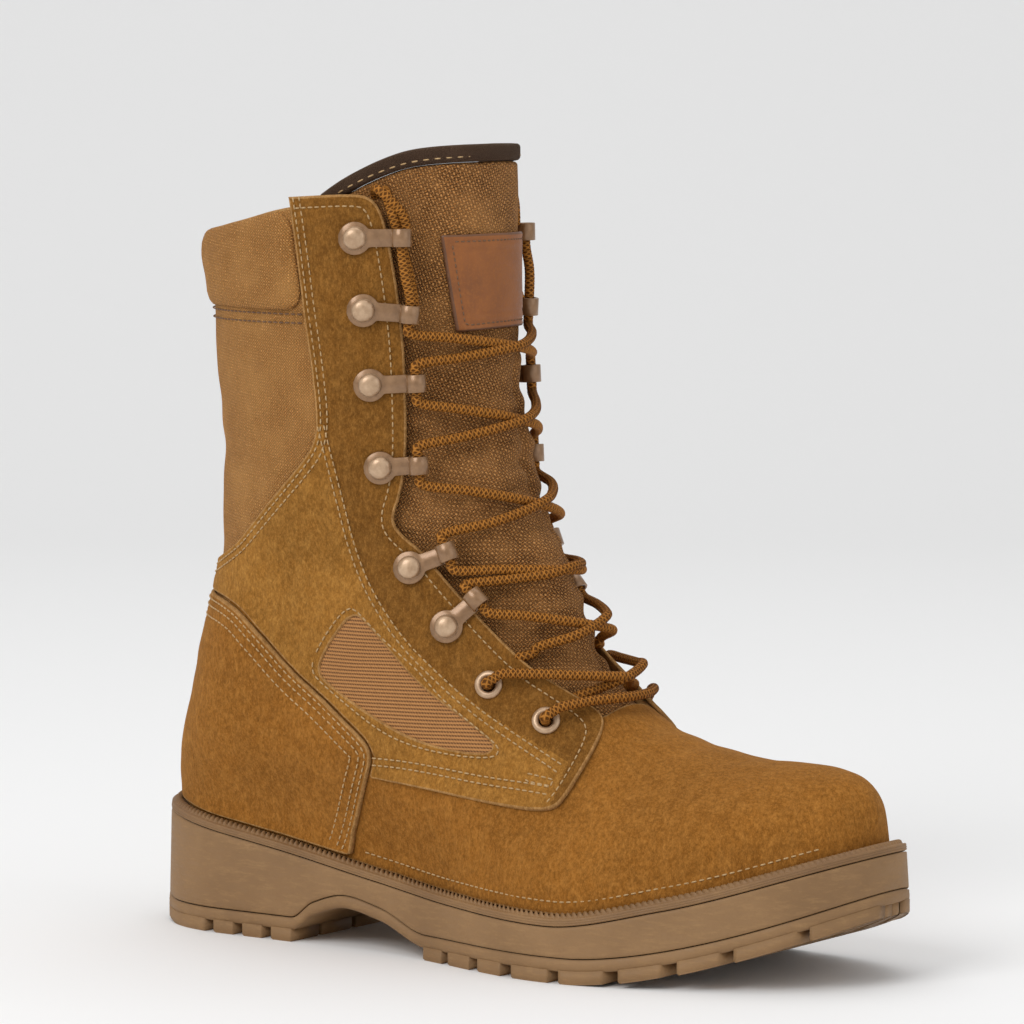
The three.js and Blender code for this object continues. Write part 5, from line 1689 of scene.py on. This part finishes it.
def hook_body(hook):
    """A pressed plate and strap with a rolled loop, its edges rounded."""
    path = []
    for share in np.linspace(-0.99, 0.82, 14):
        u = share * HOOK_PLATE
        path.append((u, hook.height(u), max(math.sqrt(HOOK_PLATE ** 2 - u ** 2), HOOK_STRAP * 0.4)))
    for u in np.linspace(HOOK_PLATE * 0.95, hook.end, 7)[:-1]:
        path.append((u, hook.height(u), HOOK_STRAP))
    for angle in np.linspace(-math.pi / 2, -math.pi / 2 + LOOP_TURN, 22):
        path.append((
            hook.end + LOOP_RADIUS * math.cos(angle),
            hook.loop_lift + LOOP_RADIUS * (1 + math.sin(angle)),
            HOOK_STRAP,
        ))
    places = np.array([hook.spot(u, h) for u, h, _ in path])
    way = np.gradient(places, axis=0)
    corners = [
        (-1, -0.3), (-0.95, -0.5), (0.95, -0.5), (1, -0.3), (1, 0.3), (0.95, 0.5), (-0.95, 0.5), (-1, 0.3),
    ]
    rings = []
    for (u, _, half), here, run in zip(path, places, way):
        up = unit(np.cross(run, hook.across))
        rings.append([here + hook.across * a * half + up * b * HOOK_THICKNESS for a, b in corners])
    return tube(np.array(rings))


# Turned profiles: radius as a share of the stud's or the bore's, and height as a share or in millimetres
DOME = [
    (0.02, 1.0), (0.3, 0.975), (0.55, 0.89), (0.75, 0.73), (0.88, 0.52), (0.95, 0.3), (0.93, 0.16),
    (1.0, 0.1), (1.0, 0),
]
RIM = [
    (1.02, -1.6), (1.0, 0.95), (1.12, 1.35), (1.3, 1.5), (1.55, 1.45), (1.76, 1.15), (1.9, 0.75), (1.9, 0.5),
    (1.3, 0.5), (1.25, -1.6),
]
STUD_SIDES = 32
RING_SIDES = 40
for side, word in SIDES:
    for number, hook in enumerate(HOOK_PLACES[side], 1):
        plate = Parts()
        plate.add(*hook_body(hook))
        made = plate.make(f"loop_{word}_{number}", LACQUER)
        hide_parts(f"hook_{word}_{number}")
        base = hook.plate_lift + HOOK_THICKNESS / 2
        rows = [(r * RIVET_RADIUS, base + h * RIVET_HEIGHT) for r, h in DOME]
        body, faces = lathe(rows, hook.stud, hook.out, STUD_SIDES)
        faces = [list(f) for f in faces]
        faces += [list(range(STUD_SIDES)), [len(body) - 1 - i for i in range(STUD_SIDES)]]
        stud = Parts()
        stud.add(body, faces)
        made = stud.make(f"stud_{word}_{number}", PEARL)
        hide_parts(f"rivet_{word}_{number}")
    for number, (point, normal) in enumerate(EYELET_SEATS[side], 1):
        rows = [(r * EYELET_BORE, h) for r, h in RIM]
        body, faces = lathe([*rows, rows[0]], point, normal, RING_SIDES)
        ring = Parts()
        ring.add(body, faces)
        made = ring.make(f"eyelet_ring_{word}_{number}", PEARL)
        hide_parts(f"eyelet_{word}_{number}")


# Sole

def sole_stations(count):
    share = (1 - np.cos((np.arange(count) + 0.5) / count * math.pi)) / 2
    return share * SOLE_LENGTH


def sole_ring(x, inset, height):
    """Points round the sole, outer side from heel to toe, then back along the inner side."""
    span = inset + (x / SOLE_LENGTH) * (SOLE_LENGTH - 2 * inset)
    outer = np.stack([span, sole_centre(span) - sole_half(span, -1, inset), height(span)], 1)
    inner = np.stack([span, sole_centre(span) + sole_half(span, 1, inset), height(span)], 1)
    return np.vstack([outer, inner[::-1]])


def ring_body(rings):
    """Faces round and over a stack of rings, each one going out along one side and back along the other."""
    count = len(rings[0])
    faces = [list(f) for f in grid_faces(len(rings), count, closed_columns=True)]
    for start in (0, (len(rings) - 1) * count):
        for i in range(count // 2 - 1):
            faces.append([start + i, start + i + 1, start + count - 2 - i, start + count - 1 - i])
    return np.vstack(rings), faces


def sole_body(parts, x, rows):
    """A closed body from rows of inset and height, bottom first."""
    parts.add(*ring_body([sole_ring(x, inset, height) for inset, height in rows]))


# Side wall: height as a share of the wall, and inset from the sole's edge
WALL_ROWS = [
    (0, 1.4), (0.006, 0.75), (0.02, 0.55), (0.1, 0.6), (0.3, 0.75), (0.5, 0.92), (0.7, 1.08), (0.88, 1.22),
    (0.96, 1.3), (0.985, 1.5), (1, 2.1),
]


def wall_height(x, share):
    low = plate_top(x) + GAP
    high = lip_height(x) - WELT_THICKNESS - GAP
    return low + (high - low) * share


STATIONS = sole_stations(260)
middle = Parts()
sole_body(middle, STATIONS, [(inset, lambda x, s=s: wall_height(x, s)) for s, inset in WALL_ROWS])
middle = middle.make("sole_wall", RUBBER)
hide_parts("midsole")


def outsole_tread(parts, x0, x1):
    """One lug between two slots: a bevelled block with a zigzag groove along its underside."""
    x = np.linspace(x0, x1, 14)
    for side, _ in SIDES:
        sign = float(side)
        for inner_share, outer_share in ((0.04, 0.5), (0.56, 1.0)):
            def edge(share, inset, at=x, sign=sign):
                half = sole_half(at, sign, 0.2)
                wave = 0.02 * np.sin(at / 5.0)
                reach = half * (share + (wave if share < 1 else 0)) - inset
                return sole_centre(at) + sign * np.maximum(reach, 0.2)

            rings = []
            top = plate_bottom(x) + 0.6
            low = floor_height(x)
            inside = x0 + 0.5 + (x - x0) / (x1 - x0) * (x1 - x0 - 1.0)
            for at, shrink, level in ((x, 0.0, top), (x, 0.0, low + 0.7), (inside, 0.5, low)):
                a = np.stack([at, edge(outer_share, shrink), level], 1)
                b = np.stack([at, edge(inner_share, -shrink), level], 1)
                rings.append(np.vstack([a, b[::-1]]))
            parts.add(*ring_body(rings))


lower = Parts()
plate_rows = [
    (1.2, plate_bottom), (0.35, lambda x: plate_bottom(x) + 0.5), (0.25, lambda x: plate_bottom(x) + 2),
    (0.45, lambda x: plate_top(x) - 0.5), (1.2, plate_top),
]
sole_body(lower, STATIONS, plate_rows)
cuts = [(at * SOLE_LENGTH, width * SOLE_LENGTH / 2 + 0.2) for at, width in SLOTS]
heel_end, front_start = HEEL_END * SOLE_LENGTH, FOREFOOT_START * SOLE_LENGTH
for start, end in ((1.2, heel_end), (front_start, SOLE_LENGTH - 1.2)):
    here = [(c, w) for c, w in cuts if start < c < end]
    borders = [start, *[v for c, w in here for v in (c - w, c + w)], end]
    for x0, x1 in zip(borders[::2], borders[1::2]):
        outsole_tread(lower, x0, x1)
lower = lower.make("tread", RUBBER)
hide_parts("outsole")


def welt_body():
    """The lip with its side grooves and, against the upper, the band of slanted ribs."""
    profile = [
        (WELT_WIDTH, -WELT_THICKNESS, 0), (2.0, -WELT_THICKNESS, 0), (1.35, -2.5, 0), (1.3, -2.0, 0),
        (1.55, -1.85, 0), (1.35, -1.65, 0), (1.4, -1.2, 0), (1.6, -1.05, 0), (1.45, -0.85, 0),
        (1.55, -0.3, 0), (1.9, -0.03, 0), (2.5, 0, 0), (2.9, 0.02, 0.2), (3.2, 0.05, 0.65),
        (3.9, 0.05, 0.95), (4.6, 0.05, 1.0), (5.3, 0.05, 0.85), (5.75, 0, 0.3), (6.1, 0, 0),
        (WELT_WIDTH, 0, 0),
    ]
    share = (1 - np.cos(np.linspace(0.004, 1, 1400) * math.pi)) / 2
    coarse = sole_ring(share[:-1] * SOLE_LENGTH, 4.5, lip_height)
    closed = np.vstack([coarse, coarse[:1]])
    run = np.concatenate([[0], np.cumsum(np.linalg.norm(np.diff(closed, axis=0), axis=1))])
    ribs = int(round(run[-1] / RIB_PITCH))
    count = ribs * 6
    at = np.arange(count) / count * run[-1]
    rings = []
    for inset, level, rib in profile:
        ring = sole_ring(share[:-1] * SOLE_LENGTH, inset, lip_height)
        ring = np.vstack([ring, ring[:1]])
        placed = np.stack([np.interp(at, run, ring[:, k]) for k in range(3)], 1)
        phase = (np.arange(count) / 6 + 0.3 * (inset - 4.5)) * 2 * math.pi
        tooth = np.clip(0.5 + 0.75 * np.cos(phase), 0, 1)
        placed[:, 2] += level + RIB_HEIGHT * rib * (0.25 + 0.75 * tooth)
        rings.append(placed)
    faces = [list(f) for f in grid_faces(len(profile), count, closed_rows=True, closed_columns=True)]
    return np.vstack(rings), faces


welt = Parts()
welt.add(*welt_body())
welt = welt.make("ribbed_lip", WELT_RUBBER)
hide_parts("welt")

footbed = Parts()
bed_rows = [(inset, lambda x, h=h: lip_height(x) + 2 * GAP + h) for inset, h in (
    (13.5, 0), (12.5, 0.6), (12.2, 2), (12.4, 3.3), (13.4, INSOLE_THICKNESS),
)]
sole_body(footbed, sole_stations(90), bed_rows)
footbed = footbed.make("footbed", LINING)
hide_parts("insole")

# Studio: a pale floor that sweeps up behind, soft lights, and the camera at the photograph's angle

AZIMUTH = math.radians(35.11)
ELEVATION = math.radians(5.63)
TARGET = Vector((0, 0, 0.14))
DISTANCE = 2.0
IMAGE_SIDE = 1024
FOCAL = 5473.5
SENSOR = 36.0
SHIFT_X = -7.47
SHIFT_Y = 56.54

flat_part = math.cos(ELEVATION)
back = Vector((math.sin(AZIMUTH) * flat_part, -math.cos(AZIMUTH) * flat_part, math.sin(ELEVATION)))
right = Vector((math.cos(AZIMUTH), math.sin(AZIMUTH), 0))
level = Vector((back.x, back.y, 0)).normalized()

camera_data = bpy.data.cameras.new("photo_camera")
camera_data.sensor_width = SENSOR
camera_data.lens = FOCAL / IMAGE_SIDE * SENSOR
camera_data.shift_x = SHIFT_X / IMAGE_SIDE
camera_data.shift_y = SHIFT_Y / IMAGE_SIDE
camera_data.clip_end = 50
camera = bpy.data.objects.new("photo_camera", camera_data)
camera.location = TARGET + back * DISTANCE
camera.rotation_euler = back.to_track_quat("Z", "Y").to_euler()
bpy.context.scene.collection.objects.link(camera)
bpy.context.scene.camera = camera


def studio_sweep():
    profile = [(3.0, 0.0), (0.0, 0.0), (-1.6, 0.0)]
    for k in range(1, 17):
        angle = k / 16 * math.pi / 2
        profile.append((-1.6 - 1.2 * math.sin(angle), 1.2 * (1 - math.cos(angle))))
    profile.append((-2.8, 4.0))
    vertices = []
    for along, height in profile:
        for across in (-4.0, 4.0):
            vertices.append(level * along + right * across + Vector((0, 0, height)))
    faces = [(2 * i, 2 * i + 1, 2 * i + 3, 2 * i + 2) for i in range(len(profile) - 1)]
    mesh = bpy.data.meshes.new("studio_floor")
    mesh.from_pydata(vertices, [], faces)
    mesh.polygons.foreach_set("use_smooth", np.ones(len(faces), bool))
    floor = bpy.data.objects.new("studio_floor", mesh)
    bpy.context.scene.collection.objects.link(floor)
    made = Finish("studio_paper", (0.86, 0.86, 0.86), 0.9)
    made.bump(made.noise(600, 3, 0.6), 0.0001, 0.2)
    mesh.materials.append(made.material)


studio_sweep()


def area_light(name, offset, size, power):
    data = bpy.data.lights.new(name, "AREA")
    data.shape = "RECTANGLE"
    data.size, data.size_y = size
    data.energy = power
    lamp = bpy.data.objects.new(name, data)
    across, toward, up = offset
    lamp.location = right * across + level * toward + Vector((0, 0, up))
    lamp.rotation_euler = (lamp.location - Vector((0, 0, 0.12))).to_track_quat("Z", "Y").to_euler()
    bpy.context.scene.collection.objects.link(lamp)


area_light("key", (-1.3, 1.5, 1.7), (1.3, 1.3), 27)
area_light("fill", (1.7, 1.3, 1.0), (1.6, 1.4), 5)
area_light("top", (0.0, -0.4, 2.4), (2.2, 2.2), 16)

world = bpy.data.worlds.new("studio")
world.use_nodes = True
world.node_tree.nodes["Background"].inputs[0].default_value = (1, 1, 1, 1)
world.node_tree.nodes["Background"].inputs[1].default_value = 0.62
bpy.context.scene.world = world
bpy.context.scene.view_settings.view_transform = "Standard"
